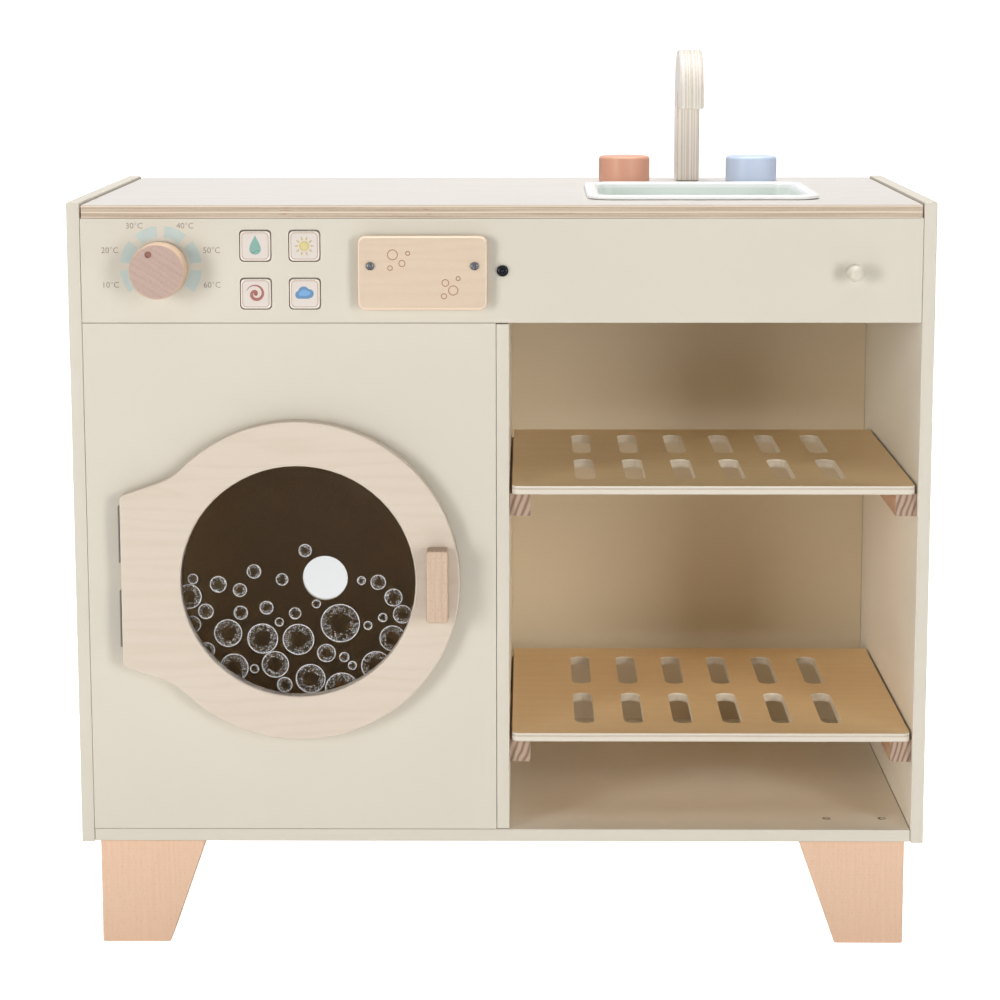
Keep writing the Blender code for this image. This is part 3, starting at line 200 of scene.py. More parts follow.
class ButtonSettings(bpy.types.PropertyGroup):
    """What is printed on the four push buttons."""

    print_size: distance("Print", 0.0178, "Side of the white print")
    line: distance("Line", 0.0004, "Width of the line round the print")
    corner: distance("Corner", 0.0026, "Corner radius of the print")
    motif: distance("Motif", 0.0068, "Reach of each motif from its middle")
    white: tint("White ink", seen(220, 210, 201), "Ground of the print")
    line_ink: tint("Line ink", seen(170, 136, 120), "Line round the print")
    mint: tint("Mint", seen(132, 174, 162), "Drop on the upper left button")
    yellow: tint("Yellow", seen(206, 191, 132), "Sun on the upper right button")
    red: tint("Dusty red", seen(168, 106, 98), "Whirl on the lower left button")
    blue: tint("Blue", seen(101, 142, 180), "Cloud on the lower right button")


class WindowSettings(bpy.types.PropertyGroup):
    """The clear window and the froth printed on it."""

    seed: IntProperty(name="Seed", description="Layout of the froth", default=17, min=0)
    bubbles: IntProperty(name="Bubbles", description="How many bubbles are tried", default=900, min=1)
    smallest: distance("Smallest", 0.0028, "Radius of the smallest bubble")
    largest: distance("Largest", 0.015, "Radius of the largest bubble")
    dots: IntProperty(name="Dots", description="Dots in the largest bubble", default=560, min=0)
    dot_radius: distance("Dot", 0.00021, "Radius of one printed dot")
    rim: distance("Rim line", 0.00046, "Width of a bubble's printed rim")
    vent_across: distance("Vent across", 0.0195, "How far right of the window's middle the vent is seen")
    vent_up: distance("Vent up", 0.0024, "How far above the window's middle the vent is seen")
    vent_reach: distance("Vent reach", 0.0162, "How far round the seen vent no froth is printed")
    ink: tint("Froth ink", seen(246, 247, 250), "Colour of the printed froth")


class SoapSettings(bpy.types.PropertyGroup):
    """Rings engraved on the soap drawer's front."""

    groove: distance("Groove", 0.00034, "Half width of the engraved line")
    depth: distance("Depth", 0.0003, "How deep the line is engraved")
    scorch: tint("Scorch", seen(168, 126, 92), "Colour in the groove")


class FittingSettings(bpy.types.PropertyGroup):
    """Screws, bolts and caps."""

    back_screw: distance("Back screw", 0.0028, "Head radius of the back board's screws")
    leg_bolt: distance("Leg bolt", 0.0031, "Head radius of the leg bolts")
    cap: distance("Cap", 0.0052, "Radius of the caps on the side boards")
    spring_wire: distance("Spring wire", 0.0004, "Radius of the button springs' wire")
    spring_turns: quantity("Spring turns", 6.0, "How often the wire of a button spring goes round")
    steel: tint("Steel", (0.56, 0.56, 0.58), "Colour of bright metal")
    screw: tint("Screw steel", (0.14, 0.145, 0.165), "Colour of the small screws")
    black: tint("Black steel", (0.022, 0.023, 0.028), "Colour of blackened metal")
    dull: tint("Hinge metal", (0.2, 0.19, 0.175), "Colour of the hinges")


class StageSettings(bpy.types.PropertyGroup):
    """The camera, the lights and the floor."""

    camera: FloatVectorProperty(
        name="Camera", description="Where the camera stands", default=(0.0182, -1.9404, 0.6654), size=3,
        subtype="TRANSLATION", unit="LENGTH",
    )
    yaw: angle("Yaw", 0.606, "How far the camera turns to the left")
    pitch: angle("Pitch", 8.479, "How far the camera looks down")
    roll: angle("Roll", -0.08, "How far the camera leans")
    lens: FloatProperty(name="Lens", description="Focal length in millimetres", default=94.48, min=1)
    lift: FloatProperty(name="Shift", description="Vertical lens shift", default=-0.1)
    left_power: quantity("Left light", 37.6, "Power of the left soft box")
    right_power: quantity("Right light", 32.5, "Power of the right soft box")
    top_power: quantity("Top light", 55.0, "Power of the soft box above")
    front_power: quantity("Front light", 7.0, "Power of the soft box above the front")
    back_power: quantity("Back light", 30.0, "Power of the soft box behind")
    sky: quantity("Fill", 0.0, "Strength of the light from all round")
    shine: quantity("Shine", 0.75, "Strength of the white studio in reflections")
    floor: tint("Floor", (0.86, 0.86, 0.86), "Colour of the floor")
    floor_glow: quantity("Floor glow", 0.1, "Light that the floor gives of itself")


class ToyWasherSettings(bpy.types.PropertyGroup):
    """Everything that a user may change."""

    paint: PointerProperty(type=PaintSettings)
    timber: PointerProperty(type=TimberSettings)
    dial: PointerProperty(type=DialSettings)
    buttons: PointerProperty(type=ButtonSettings)
    window: PointerProperty(type=WindowSettings)
    soap: PointerProperty(type=SoapSettings)
    fittings: PointerProperty(type=FittingSettings)
    stage: PointerProperty(type=StageSettings)


def settings():
    return bpy.context.scene.toy_washer


# Small helpers for node trees


class Wire:
    """A value in a node tree. Sums and products of wires make the nodes that work them out."""

    def __init__(self, socket):
        self.socket = socket

    def clamped(self):
        self.socket.node.use_clamp = True
        return self

    def __add__(self, other):
        return calc("ADD", self, other)

    def __sub__(self, other):
        return calc("SUBTRACT", self, other)

    def __rsub__(self, other):
        return calc("SUBTRACT", other, self)

    def __mul__(self, other):
        return calc("MULTIPLY", self, other)

    def __truediv__(self, other):
        return calc("DIVIDE", self, other)

    def __rtruediv__(self, other):
        return calc("DIVIDE", other, self)

    def __pow__(self, other):
        return calc("POWER", self, other)

    def __abs__(self):
        return calc("ABSOLUTE", self)


def tree_with(*values):
    """The node tree that the wires among some values belong to."""
    return next(value.socket.id_data for value in values if isinstance(value, Wire))


def feed(socket, value):
    """Links a wire to a socket, or sets the socket to a plain value."""
    if isinstance(value, Wire):
        socket.id_data.links.new(value.socket, socket)
    elif socket.type == "RGBA":
        socket.default_value = (*value[:3], 1)
    else:
        socket.default_value = value


def node(tree, kind, given=None, **facts):
    """A new node with its facts set and its inputs fed, by name or by number."""
    made = tree.nodes.new(kind)
    for name, value in facts.items():
        setattr(made, name, value)
    for key, value in (given or {}).items():
        named = (socket for socket in made.inputs if socket.name == key and socket.enabled)
        feed(made.inputs[key] if isinstance(key, int) else next(named), value)
    return made


def put(tree, kind, given=None, output=0, **facts):
    """The wire of one output of a new node."""
    return Wire(node(tree, kind, given, **facts).outputs[output])


def calc(operation, *values):
    return put(tree_with(*values), "ShaderNodeMath", dict(enumerate(values)), operation=operation)


def vector_calc(operation, *values):
    output = "Value" if operation in ("DOT_PRODUCT", "LENGTH") else "Vector"
    given = dict(enumerate(values))
    return put(tree_with(*values), "ShaderNodeVectorMath", given, output, operation=operation)


def vector_of(*values):
    """A vector of up to three parts."""
    return put(tree_with(*values), "ShaderNodeCombineXYZ", dict(enumerate(values)))


def parts_of(vector):
    return [Wire(part) for part in node(tree_with(vector), "ShaderNodeSeparateXYZ", {0: vector}).outputs]


def wave(turns):
    """A smooth wave from 0 to 1 that repeats once a turn."""
    return calc("SINE", turns * math.tau) * 0.5 + 0.5


def blend(amount, first, second, mode="MIX"):
    tree = tree_with(amount, first, second)
    return put(tree, "ShaderNodeMix", {0: amount, 6: first, 7: second}, 2, data_type="RGBA", blend_type=mode)


def spread(value, low, high):
    """A smooth step: 0 at the low value, 1 at the high one."""
    given = {"Value": value, "From Min": low, "From Max": high}
    return put(tree_with(value), "ShaderNodeMapRange", given, interpolation_type="SMOOTHSTEP")


def cloud(vector, stretch, detail=2.0, roughness=0.5, distortion=0.0):
    """Noise from 0 to 1 on a stretched vector. A stretch is one over a size in metres."""
    spaced = vector_calc("MULTIPLY", vector, stretch if isinstance(stretch, tuple) else (stretch,) * 3)
    given = {
        "Vector": spaced, "Scale": 1.0, "Detail": detail, "Roughness": roughness, "Distortion": distortion,
    }
    return put(tree_with(vector), "ShaderNodeTexNoise", given)


SOCKET_KINDS = {float: "Float", int: "Int", tuple: "Color"}


def node_group(kind, name, inputs, outputs):
    """Makes a node group. An input is given by the kind of its socket or by its first value.

    Gives the inputs' wires by name, and the sockets that its outputs are fed to.
    """
    tree = bpy.data.node_groups.new(name, kind)
    for label, value in inputs.items():
        socket_kind = SOCKET_KINDS.get(type(value), value)
        socket = tree.interface.new_socket(label, in_out="INPUT", socket_type="NodeSocket" + socket_kind)
        if socket_kind != value:
            socket.default_value = (*value, 1) if socket_kind == "Color" else value
    for label, socket_kind in outputs.items():
        tree.interface.new_socket(label, in_out="OUTPUT", socket_type="NodeSocket" + socket_kind)
    start = tree.nodes.new("NodeGroupInput").outputs
    return {label: Wire(start[label]) for label in inputs}, tree.nodes.new("NodeGroupOutput").inputs


def shader_group(name, inputs, *outputs):
    """A shader node group whose output Colour is a colour and whose others are values."""
    kinds = {label: "Color" if label == "Colour" else "Float" for label in outputs}
    return node_group("ShaderNodeTree", name, inputs, kinds)


def timber_group():
    """Growth rings, fibres and short flecks of wood whose grain runs along the vector's first axis."""
    inputs = {
        "Vector": "Vector", "Pale": (0.8, 0.7, 0.6), "Dark": (0.6, 0.5, 0.4), "Ring Width": 0.006,
        "Figure": 0.5, "Fibre": 0.35, "Flecks": 0.3, "Fleck Length": 0.0022,
    }
    given, made = shader_group("Timber", inputs, "Colour", "Height", "Gloss")
    vector, dark = given["Vector"], given["Dark"]
    wander = cloud(vector, (3.1, 17, 17), 3, 0.55, 0.6)
    broad = cloud(vector, (5, 42, 42))
    fibre = cloud(vector, (46, 1900, 1900), 3, 0.6)
    coarse = cloud(vector, (16, 420, 420), 2, 0.6)
    axes = parts_of(vector)
    across = axes[1] + axes[2] * 0.62
    ring = wave(across / given["Ring Width"] + wander * 7.0) ** 2.6
    figure = ring * 0.55 + broad * 0.75
    fine = fibre * 0.6 + coarse * 0.4 - 0.5
    tone = (fine * (given["Fibre"] * 2.2) + figure * given["Figure"]).clamped()
    shorten = 1.0 / given["Fleck Length"]
    narrow = shorten * 7.0
    spaced = vector_calc("MULTIPLY", vector, vector_of(shorten, narrow, narrow))
    cells = node(tree_with(vector), "ShaderNodeTexVoronoi", {"Vector": spaced, "Scale": 1.0}).outputs
    chance = parts_of(Wire(cells["Color"]))[0]
    fleck = spread(Wire(cells["Distance"]), 0.42, 0.12) * spread(chance, 0.35, 0.6)
    darker = blend(1.0, dark, (0.74, 0.68, 0.62), "MULTIPLY")
    feed(made["Colour"], blend(fleck * given["Flecks"], blend(tone, given["Pale"], dark), darker))
    feed(made["Height"], ring * 0.25 + (fleck * -0.7 + fine))
    feed(made["Gloss"], fine * 0.35 + fleck * 0.2)


def end_grain_group():
    """Rings and pores on a sawn end, and how far a surface is one. The grain runs along the first axis."""
    inputs = {
        "Vector": "Vector", "Normal": "Vector", "Pale": (0.7, 0.5, 0.4), "Dark": (0.5, 0.35, 0.25),
        "Ring Width": 0.003,
    }
    given, made = shader_group("End grain", inputs, "Colour", "Mask")
    axes = parts_of(given["Vector"])
    bow = abs(axes[1]) ** 2.0 * 0.6
    slant = axes[2] * 0.4 + axes[1] + bow
    wobble = cloud(given["Vector"], (20, 55, 55))
    ring = wave(slant / given["Ring Width"] + wobble * 1.1) ** 1.6
    pores = cloud(given["Vector"], (900, 2600, 2600), 2, 0.7)
    feed(made["Colour"], blend((pores * 0.25 + ring * 0.75).clamped(), given["Pale"], given["Dark"]))
    feed(made["Mask"], spread(abs(parts_of(given["Normal"])[0]), 0.6, 0.85))


def ply_group():
    """Layers of ply across a depth: brown bands parted by pale ones, with fine lines along the grain."""
    inputs = {
        "Vector": "Vector", "Depth": 0.0, "Pitch": 0.0036, "Band": 0.6, "Pale": (0.85, 0.75, 0.65),
        "Dark": (0.6, 0.48, 0.36), "Glue": (0.35, 0.24, 0.15), "Stain": 0.4, "Uneven": 0.0,
    }
    given, made = shader_group("Ply layers", inputs, "Colour", "Height")
    vector = given["Vector"]
    waver = (cloud(vector, (14, 30, 30)) - 0.5) * 0.12
    turns = given["Depth"] / given["Pitch"]
    sway = calc("SINE", turns * 2.3 + 0.8)
    place = calc("FRACT", sway * given["Uneven"] + turns + waver)
    from_seam = abs(place - 0.5) - given["Band"] * 0.5
    brown = spread(from_seam, 0.05, -0.05)
    streak = cloud(vector, (9, 900, 900), 3, 0.65)
    pores = cloud(vector, (300, 1100, 1100), 2, 0.6)
    fine = (streak - 0.5) * 2.1 + (pores - 0.5) * 0.5
    tone = (fine * (brown * 0.6 + 0.25) + brown * 0.72).clamped()
    seam = spread(abs(from_seam), 0.07, 0.01)
    rare = spread(cloud(vector, (11, 60, 60), 1), 0.58, 0.65)
    knot = spread(cloud(vector, (90, 950, 950)), 0.6, 0.7) * (rare * brown)
    dark = calc("MAXIMUM", seam * 0.6, knot)
    wood = blend(tone, given["Pale"], given["Dark"])
    feed(made["Colour"], blend(dark * given["Stain"], wood, given["Glue"]))
    feed(made["Height"], pores * 0.4 + seam * -0.6)


def arris_group():
    """How far a surface lies on a rounded edge: none on a flat face that looks along an axis. It marks where
    painted highlights lighten rounded edges.
    """
    given, made = shader_group("Arris", {"Normal": "Vector"}, "Mask")
    axes = parts_of(vector_calc("ABSOLUTE", given["Normal"]))
    feed(made["Mask"], spread(calc("MAXIMUM", calc("MAXIMUM", axes[0], axes[1]), axes[2]), 0.985, 0.86))


def handling_group():
    """Faint smudges, dust and hairline marks that change how a surface shines."""
    given, made = shader_group("Handling", {"Vector": "Vector", "Smudge": 0.5, "Dust": 0.3}, "Gloss", "Tone")
    vector = given["Vector"]
    smudge = spread(cloud(vector, 11, 3, 0.6, 0.8), 0.38, 0.72)
    hair = spread(cloud(vector, (900, 35, 900), 2, 0.5, 1.5), 0.66, 0.74)
    dust = spread(cloud(vector, 2100, 1), 0.7, 0.8)
    feed(made["Gloss"], dust * given["Dust"] + (hair * 0.2 + smudge * given["Smudge"]))
    feed(made["Tone"], cloud(vector, 4) - 0.5)


def lacquer_group():
    """Sprayed paint: a slow change of tone, fine waves, and a painted highlight that lightens rounded edges."""
    inputs = {"Vector": "Vector", "Edge": 0.0, "Tone": 0.0, "Colour": (0.8, 0.8, 0.8)}
    given, made = shader_group("Lacquer", inputs, "Colour", "Height")
    vector = given["Vector"]
    speck = cloud(vector, 1300) - 0.5
    # Painted highlight: the colour is lightened a little on rounded edges.
    factor = given["Tone"] * 0.11 + speck * 0.05 + 1.0 + given["Edge"] * 0.05
    feed(made["Colour"], blend(1.0, given["Colour"], vector_of(factor, factor, factor), "MULTIPLY"))
    feed(made["Height"], cloud(vector, 520, 2, 0.4) + cloud(vector, 60, 1) * 0.8)


def box_group():
    """Whether a point lies in a box, told by its lowest and highest corners."""
    inputs = {"Vector": "Vector", "Low": "Vector", "High": "Vector"}
    given, made = shader_group("Inside a box", inputs, "Mask")
    gaps = parts_of(vector_calc("SUBTRACT", given["Vector"], given["Low"]))
    gaps += parts_of(vector_calc("SUBTRACT", given["High"], given["Vector"]))
    least = gaps[0]
    for gap in gaps[1:]:
        least = calc("MINIMUM", least, gap)
    feed(made["Mask"], calc("GREATER_THAN", least, 0.0))


# How materials are built up

GRAIN_DEPTH = 0.00008
PLY_DEPTH = 0.00007
FINE_DEPTH = 0.00002
INK_DEPTH = 0.00001
ACROSS, DEEP, UPWARD = (1, 0, 0), (0, 1, 0), (0, 0, 1)


def shade(colour, factor):
    """A lighter or darker sister of a colour."""
    return tuple(min(1, part * factor) for part in colour)


def along_grain(vector, along, up):
    """A vector's parts along a grain direction, along another one, and across both."""
    axes = (along, up, tuple(Vector(along).cross(Vector(up))))
    return vector_of(*(vector_calc("DOT_PRODUCT", vector, axis) for axis in axes))


class Finish:
    """A material in the making: its tree, its Principled shader and its coordinates."""

    def __init__(self, name, roughness, **plain):
        self.material = bpy.data.materials.new(name)
        self.material.use_nodes = True
        self.tree = self.material.node_tree
        self.shader = self.tree.nodes["Principled BSDF"].inputs
        self.roughness = roughness
        self.shader["Roughness"].default_value = roughness
        for label, value in plain.items():
            self.shader[label.replace("_", " ")].default_value = value
        coordinates = self.tree.nodes.new("ShaderNodeTexCoord").outputs
        self.place = Wire(coordinates["Object"])
        self.normal = Wire(coordinates["Normal"])

    def effect(self, name, given):
        """One of the shared effects, placed in the material. Gives its outputs by name."""
        made = node(self.tree, "ShaderNodeGroup", node_tree=group_of(name))
        for label, value in given.items():
            feed(made.inputs[label], value)
        return {output.name: Wire(output) for output in made.outputs}

    def marks(self, smudge, dust):
        return self.effect("Handling", {"Vector": self.place, "Smudge": smudge, "Dust": dust})

    def arris(self):
        return self.effect("Arris", {"Normal": self.normal})["Mask"]

    def inside(self, corners):
        given = {"Vector": self.place, "Low": corners[0], "High": corners[1]}
        return self.effect("Inside a box", given)["Mask"]

    def timber(self, place, tones, ring=0.006, figure=0.5, fibre=0.35, flecks=0.3, fleck=0.0022):
        return self.effect("Timber", {
            "Vector": place, "Pale": tones[0], "Dark": tones[1], "Ring Width": ring, "Figure": figure,
            "Fibre": fibre, "Flecks": flecks, "Fleck Length": fleck,
        })

    def done(self, colour, gloss=None, amount=0.0, height=None, depth=0.0, strength=1.0):
        """The finished material: its colour, a roughness that gloss changes by an amount, and a bump."""
        feed(self.shader["Base Color"], colour)
        if gloss:
            feed(self.shader["Roughness"], (gloss * amount + self.roughness).clamped())
        if height:
            given = {"Height": height, "Distance": depth, "Strength": strength}
            feed(self.shader["Normal"], put(self.tree, "ShaderNodeBump", given))
        return self.material


def painted(name, colour, roughness, peel, raw=None, room=None, **plain):
    """Sprayed paint. Two boxes may each be given by their corners and a colour. In the first the board shows
    bare, or, in the button holes, a dark painted shade; in room another paint shows: paler in the shelf room as
    painted light, browner on the back board as painted shade.
    """
    made = Finish(name, roughness, **plain)
    marks = made.marks(smudge=0.4, dust=0.25)
    if room:
        # Inside the room's box the colour changes: paler paint as painted light in the shelf room, browner
        # paint as painted shade on the back board.
        colour = blend(made.inside(room), colour, room[2])
    # The rounded edges' mask feeds the lacquer's painted highlight.
    given = {"Vector": made.place, "Edge": made.arris(), "Tone": marks["Tone"], "Colour": colour}
    film = made.effect("Lacquer", given)
    shown = film["Colour"]
    if raw:
        board = blend(cloud(made.place, 900, 3, 0.7), shade(raw[2], 0.8), shade(raw[2], 1.25))
        shown = blend(made.inside(raw), shown, board)
    return made.done(shown, marks["Gloss"], 0.14, film["Height"], peel, strength=0.6)


def wooden(
    name, tones, along, up, roughness=0.5,
    ends=None, end_ring=0.003, edge_highlight=0.25, highlight_tone=1.15, face=None, **look
):
    """Bare wood in a pale and a dark tone, its grain along one direction.

    ends gives the two tones of a sawn end, face a stained direction and the bare colour of the other faces.
    Rounded edges are lightened towards a paler tone of the wood: a painted highlight.
    """
    pale, dark = tones
    made = Finish(name, roughness)
    place = along_grain(made.place, along, up)
    wood = made.timber(place, tones, **look)
    end_pale, end_dark = ends or (shade(pale, 0.8), shade(dark, 0.72))
    normal = along_grain(made.normal, along, up)
    given = {"Vector": place, "Normal": normal, "Pale": end_pale, "Dark": end_dark, "Ring Width": end_ring}
    sawn = made.effect("End grain", given)
    shown = blend(sawn["Mask"], wood["Colour"], sawn["Colour"])
    # Painted highlight: rounded edges are lightened towards a paler tone of the wood.
    shown = blend(made.arris() * edge_highlight, shown, shade(pale, highlight_tone))
    if face:
        away = abs(vector_calc("DOT_PRODUCT", made.normal, face[0]))
        bare = blend(wood["Height"], face[1], shade(face[1], 0.9))
        shown = blend(spread(away, 0.95, 0.75), shown, bare)
    gloss = made.marks(smudge=0.3, dust=0.1)["Gloss"] + wood["Gloss"]
    return made.done(shown, gloss, 0.16, wood["Height"], GRAIN_DEPTH, strength=0.5)


def plywood(
    name, tones, edge_tones, along, layers, start, pitch, roughness, stain, band,
    uneven=0.0, bright=None, **look
):
    """Ply: veneer on its two broad faces, layers on its edges.

    along is the grain's direction. layers is the direction across the plies, and start where the
    first one lies on it. bright gives a box's corners and the colour that pales the edges in it, a
    painted light on the walls of the shelves' slots, which lie in shade.
    """
    made = Finish(name, roughness)
    place = along_grain(made.place, along, DEEP)
    wood = made.timber(place, tones, **look)
    sheets = made.effect("Ply layers", {
        "Vector": place, "Depth": vector_calc("DOT_PRODUCT", made.place, layers) - start, "Pitch": pitch,
        "Band": band, "Pale": edge_tones[0], "Dark": edge_tones[1], "Glue": settings().timber.glue,
        "Stain": stain, "Uneven": uneven,
    })
    sawn = spread(abs(vector_calc("DOT_PRODUCT", made.normal, layers)), 0.8, 0.6)
    edges = sheets["Colour"]
    if bright:
        # Painted light: the cut edges in the box are paled.
        edges = blend(made.inside(bright) * 0.6, edges, bright[2])
    shown = blend(sawn, wood["Colour"], edges)
    gloss = made.marks(smudge=0.3, dust=0.15)["Gloss"] + wood["Gloss"]
    height = put(made.tree, "ShaderNodeMix", {0: sawn, 2: wood["Height"], 3: sheets["Height"]})
    return made.done(shown, gloss, 0.14, height, PLY_DEPTH, strength=0.5)


@cache
def metal(name, colour, roughness, brushed=300):
    """Plated or blackened metal with fine tool marks."""
    made = Finish(name, roughness, Metallic=1.0)
    lines = cloud(made.place, brushed, 3, 0.6)
    shown = blend(cloud(made.place, 400) * 0.4, colour, shade(colour, 0.72))
    return made.done(shown, lines - 0.5, 0.3, lines, FINE_DEPTH, strength=0.4)


@cache
def printed(name, colour, roughness=0.55, mottle=0.12):
    """Printed ink, a little uneven as screen printing is."""
    made = Finish(name, roughness)
    grain = cloud(made.place, 1700, 2, 0.6)
    tone = grain * 0.5 + cloud(made.place, 160) * 0.5
    shown = blend(tone, shade(colour, 1 - mottle), shade(colour, 1 + mottle))
    return made.done(shown, grain - 0.5, 0.2, grain, INK_DEPTH, strength=0.3)


# The finishes of this toy

PLY_PITCH = 0.0041
SPOUT_PITCH = 0.0026


def tones_of(name):
    """The pale and the dark tone of a wood in the settings."""
    timber = settings().timber
    return getattr(timber, name), getattr(timber, name + "_dark")


def wash_space():
    """The corners of the wash compartment, a hair outside its walls, and the colour of bare board."""
    low = Vector((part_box("left_side_board")[1].x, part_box("front_board")[1].y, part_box("floor_board")[1].z))
    high = Vector((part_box("divider_board")[0].x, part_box("back_board")[0].y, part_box("worktop")[0].z))
    hair = Vector((HAIR, HAIR, HAIR))
    return low - hair, high + hair, settings().paint.raw_inside


def shelf_room():
    """The corners of the shelf room, a hair outside its walls and behind the boards' front edges."""
    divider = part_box("divider_board")
    low = Vector((divider[1].x - HAIR, divider[0].y + HAIR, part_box("floor_board")[1].z - HAIR))
    high = Vector((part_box("right_side_board")[0].x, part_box("back_board")[0].y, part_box("worktop")[0].z))
    return low, high + Vector((HAIR, HAIR, HAIR))


def lacquer(name, raw=None, room=None):
    paint = settings().paint
    return painted(name, paint.cream, paint.roughness, paint.peel, raw, room)


@cache
def cream_lacquer():
    return lacquer("Cream lacquer")

# Cream lacquer, bare board in the wash space, and a paler paint in the shelf room that is painted light.

@cache
def cream_over_raw():
    room = (*shelf_room(), settings().paint.room)
    return lacquer("Cream lacquer, raw in the wash space", wash_space(), room)


# The back board's paint, browner inside the shelf room as painted shade, and bare board in the wash space.
@cache
def back_paint_with_shade():
    return lacquer("Thin paint on the back board", wash_space(), (*shelf_room(), settings().paint.back))


@cache
def cream_round_buttons():
    """The control board's paint, with a dark painted shade, flecked like bare board, inside the holes of the
    buttons.
    """
    low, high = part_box("control_board")
    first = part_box("lower_left_button")[0]
    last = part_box("upper_right_button")[1]
    margin = 0.003
    film = 0.0006
    # Painted shade: the holes' walls, in this box behind the front face, take a dark brown.
    shaded_low = Vector((first.x - margin, low.y + film, first.z - margin))
    shaded_high = Vector((last.x + margin, high.y, last.z + margin))
    return lacquer("Cream lacquer round the buttons", (shaded_low, shaded_high, settings().paint.painted_hole_shade))


@cache
def tap_paint(name, colour):
    return painted(name, colour, 0.32, settings().paint.peel, Specular_IOR_Level=0.32)


@cache
def sink_enamel():
    """A white rim and a tinted bowl, told apart by height."""
    paint = settings().paint
    made = Finish("Sink enamel", 0.32, Coat_Weight=0.4, Coat_Roughness=0.08)
    rim = 0.0035
    soft = 0.0012
    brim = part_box("sink_basin")[1].z - rim
    bowl = spread(parts_of(made.place)[2], brim, brim - soft)
    inner = blend(cloud(made.place, 30), shade(paint.basin_mint, 0.97), shade(paint.basin_mint, 1.03))
    shown = blend(bowl, paint.basin_white, inner)
    marks = made.marks(smudge=0.3, dust=0.2)
    return made.done(shown, marks["Gloss"], 0.12, cloud(made.place, 260), paint.peel, strength=0.4)


@cache
def clear_sheet():
    """The clear window, with faint wipe marks."""
    made = Finish("Clear sheet", 0.03, Transmission_Weight=1.0, IOR=1.12)
    wipe = spread(cloud(made.place, (22, 22, 90), 3, 0.6, 1.2), 0.55, 0.8)
    speck = spread(cloud(made.place, 900), 0.72, 0.8)
    return made.done((0.93, 0.935, 0.94), speck * 0.3 + wipe, 0.08)


@cache
def grey_moulding():
    """Moulded plastic with a fine spark-eroded texture."""
    colour = settings().paint.moulding
    made = Finish("Grey moulding", 0.5)
    grain = cloud(made.place, 1500)
    shown = blend(grain * 0.3, colour, shade(colour, 0.85))
    marks = made.marks(smudge=0.3, dust=0.4)
    return made.done(shown, marks["Gloss"], 0.2, grain, FINE_DEPTH, strength=0.5)


@cache
def worktop_ply():
    edge_tones = (seen(227, 211, 192), seen(176, 155, 131))
    return plywood(
        "Worktop ply", tones_of("birch"), edge_tones, ACROSS, UPWARD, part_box("worktop")[0].z, PLY_PITCH,
        roughness=0.34, stain=0.85, band=0.68, ring=0.02, figure=0.4, fibre=0.25, flecks=0.05,
    )


@cache
def shelf_ply(name):
    low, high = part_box(name)
    edge_tones = (seen(220, 211, 196), seen(190, 176, 156))
    inset = Vector((0.01, 0.01, -0.001))
    # Painted light: the walls of the slots, inside this box, are paled as though more light reached them.
    bright = (low + inset, high - inset, seen(236, 221, 197))
    first_layer = 0.00195
    return plywood(
        "Oiled ply of " + name, tones_of("shelf"), edge_tones, ACROSS, UPWARD, low.z + first_layer, PLY_PITCH,
        roughness=0.45, stain=0.3, band=0.25, bright=bright, ring=0.016, figure=0.35, fibre=0.25, flecks=0.1,
    )


@cache
def spout_ply():
    tones = (seen(252, 247, 242), seen(242, 232, 222))
    edge_tones = (seen(230, 223, 213), seen(207, 193, 176))
    return plywood(
        "Spout ply", tones, edge_tones, UPWARD, ACROSS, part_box("spout")[0].x, SPOUT_PITCH,
        roughness=0.5, stain=0.6, band=0.45, uneven=0.22, ring=0.02, figure=0.35, fibre=0.3, flecks=0.1,
    )


@cache
def door_wood():
    return wooden(
        "Door wood", tones_of("pine"), ACROSS, UPWARD,
        ring=0.011, figure=0.35, fibre=0.2, flecks=0.05, fleck=0.004, edge_highlight=0.6,
    )


@cache
def leg_beech():
    return wooden(
        "Leg beech", tones_of("beech"), UPWARD, ACROSS,
        ring=0.004, figure=0.14, fibre=0.4, flecks=0.4, fleck=0.0026, edge_highlight=0.6,
    )


@cache
def handle_beech():
    return wooden(
        "Handle beech", tones_of("handle"), UPWARD, ACROSS,
        ring=0.005, figure=0.35, fibre=0.5, flecks=0.5, fleck=0.003, edge_highlight=0.35,
    )


@cache
def soap_beech():
    return wooden(
        "Soap plate beech", tones_of("soap"), ACROSS, UPWARD,
        ring=0.008, figure=0.25, fibre=0.2, flecks=0.25, fleck=0.0018, edge_highlight=0.95, highlight_tone=1.3,
    )


@cache
def dial_beech():
    lean = math.radians(35)
    along, up = (math.cos(lean), 0, -math.sin(lean)), (math.sin(lean), 0, math.cos(lean))
    return wooden(
        "Stained dial beech", tones_of("stained"), along, up,
        ring=0.0035, figure=0.35, fibre=0.5, flecks=0.4, fleck=0.003,
        face=(DEEP, settings().timber.dial_side),
    )


@cache
def batten_wood():
    ends = (seen(184, 162, 142), seen(118, 84, 64))
    tones = tones_of("batten")
    return wooden("Batten wood", tones, DEEP, ACROSS, 0.6, ends, end_ring=0.0052, ring=0.005, figure=0.4)


@cache
def drawer_wood():
    return wooden("Drawer wood", tones_of("pine"), DEEP, ACROSS, 0.6, figure=0.35)


@cache
def button_wood():
    tones = (seen(240, 230, 216), seen(226, 212, 196))
    return wooden("Button wood", tones, UPWARD, ACROSS, figure=0.3, fibre=0.25, flecks=0.15)


def bright_steel():
    return metal("Bright steel", tuple(settings().fittings.steel), 0.28)


def screw_steel():
    return metal("Screw steel", tuple(settings().fittings.screw), 0.34)


def black_steel():
    return metal("Blackened steel", tuple(settings().fittings.black), 0.32)


# Small helpers for meshes


def body_of_node(name):
    return frame["nodes"][name]["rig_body"]


def middle(name):
    low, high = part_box(name)
    return (low + high) / 2


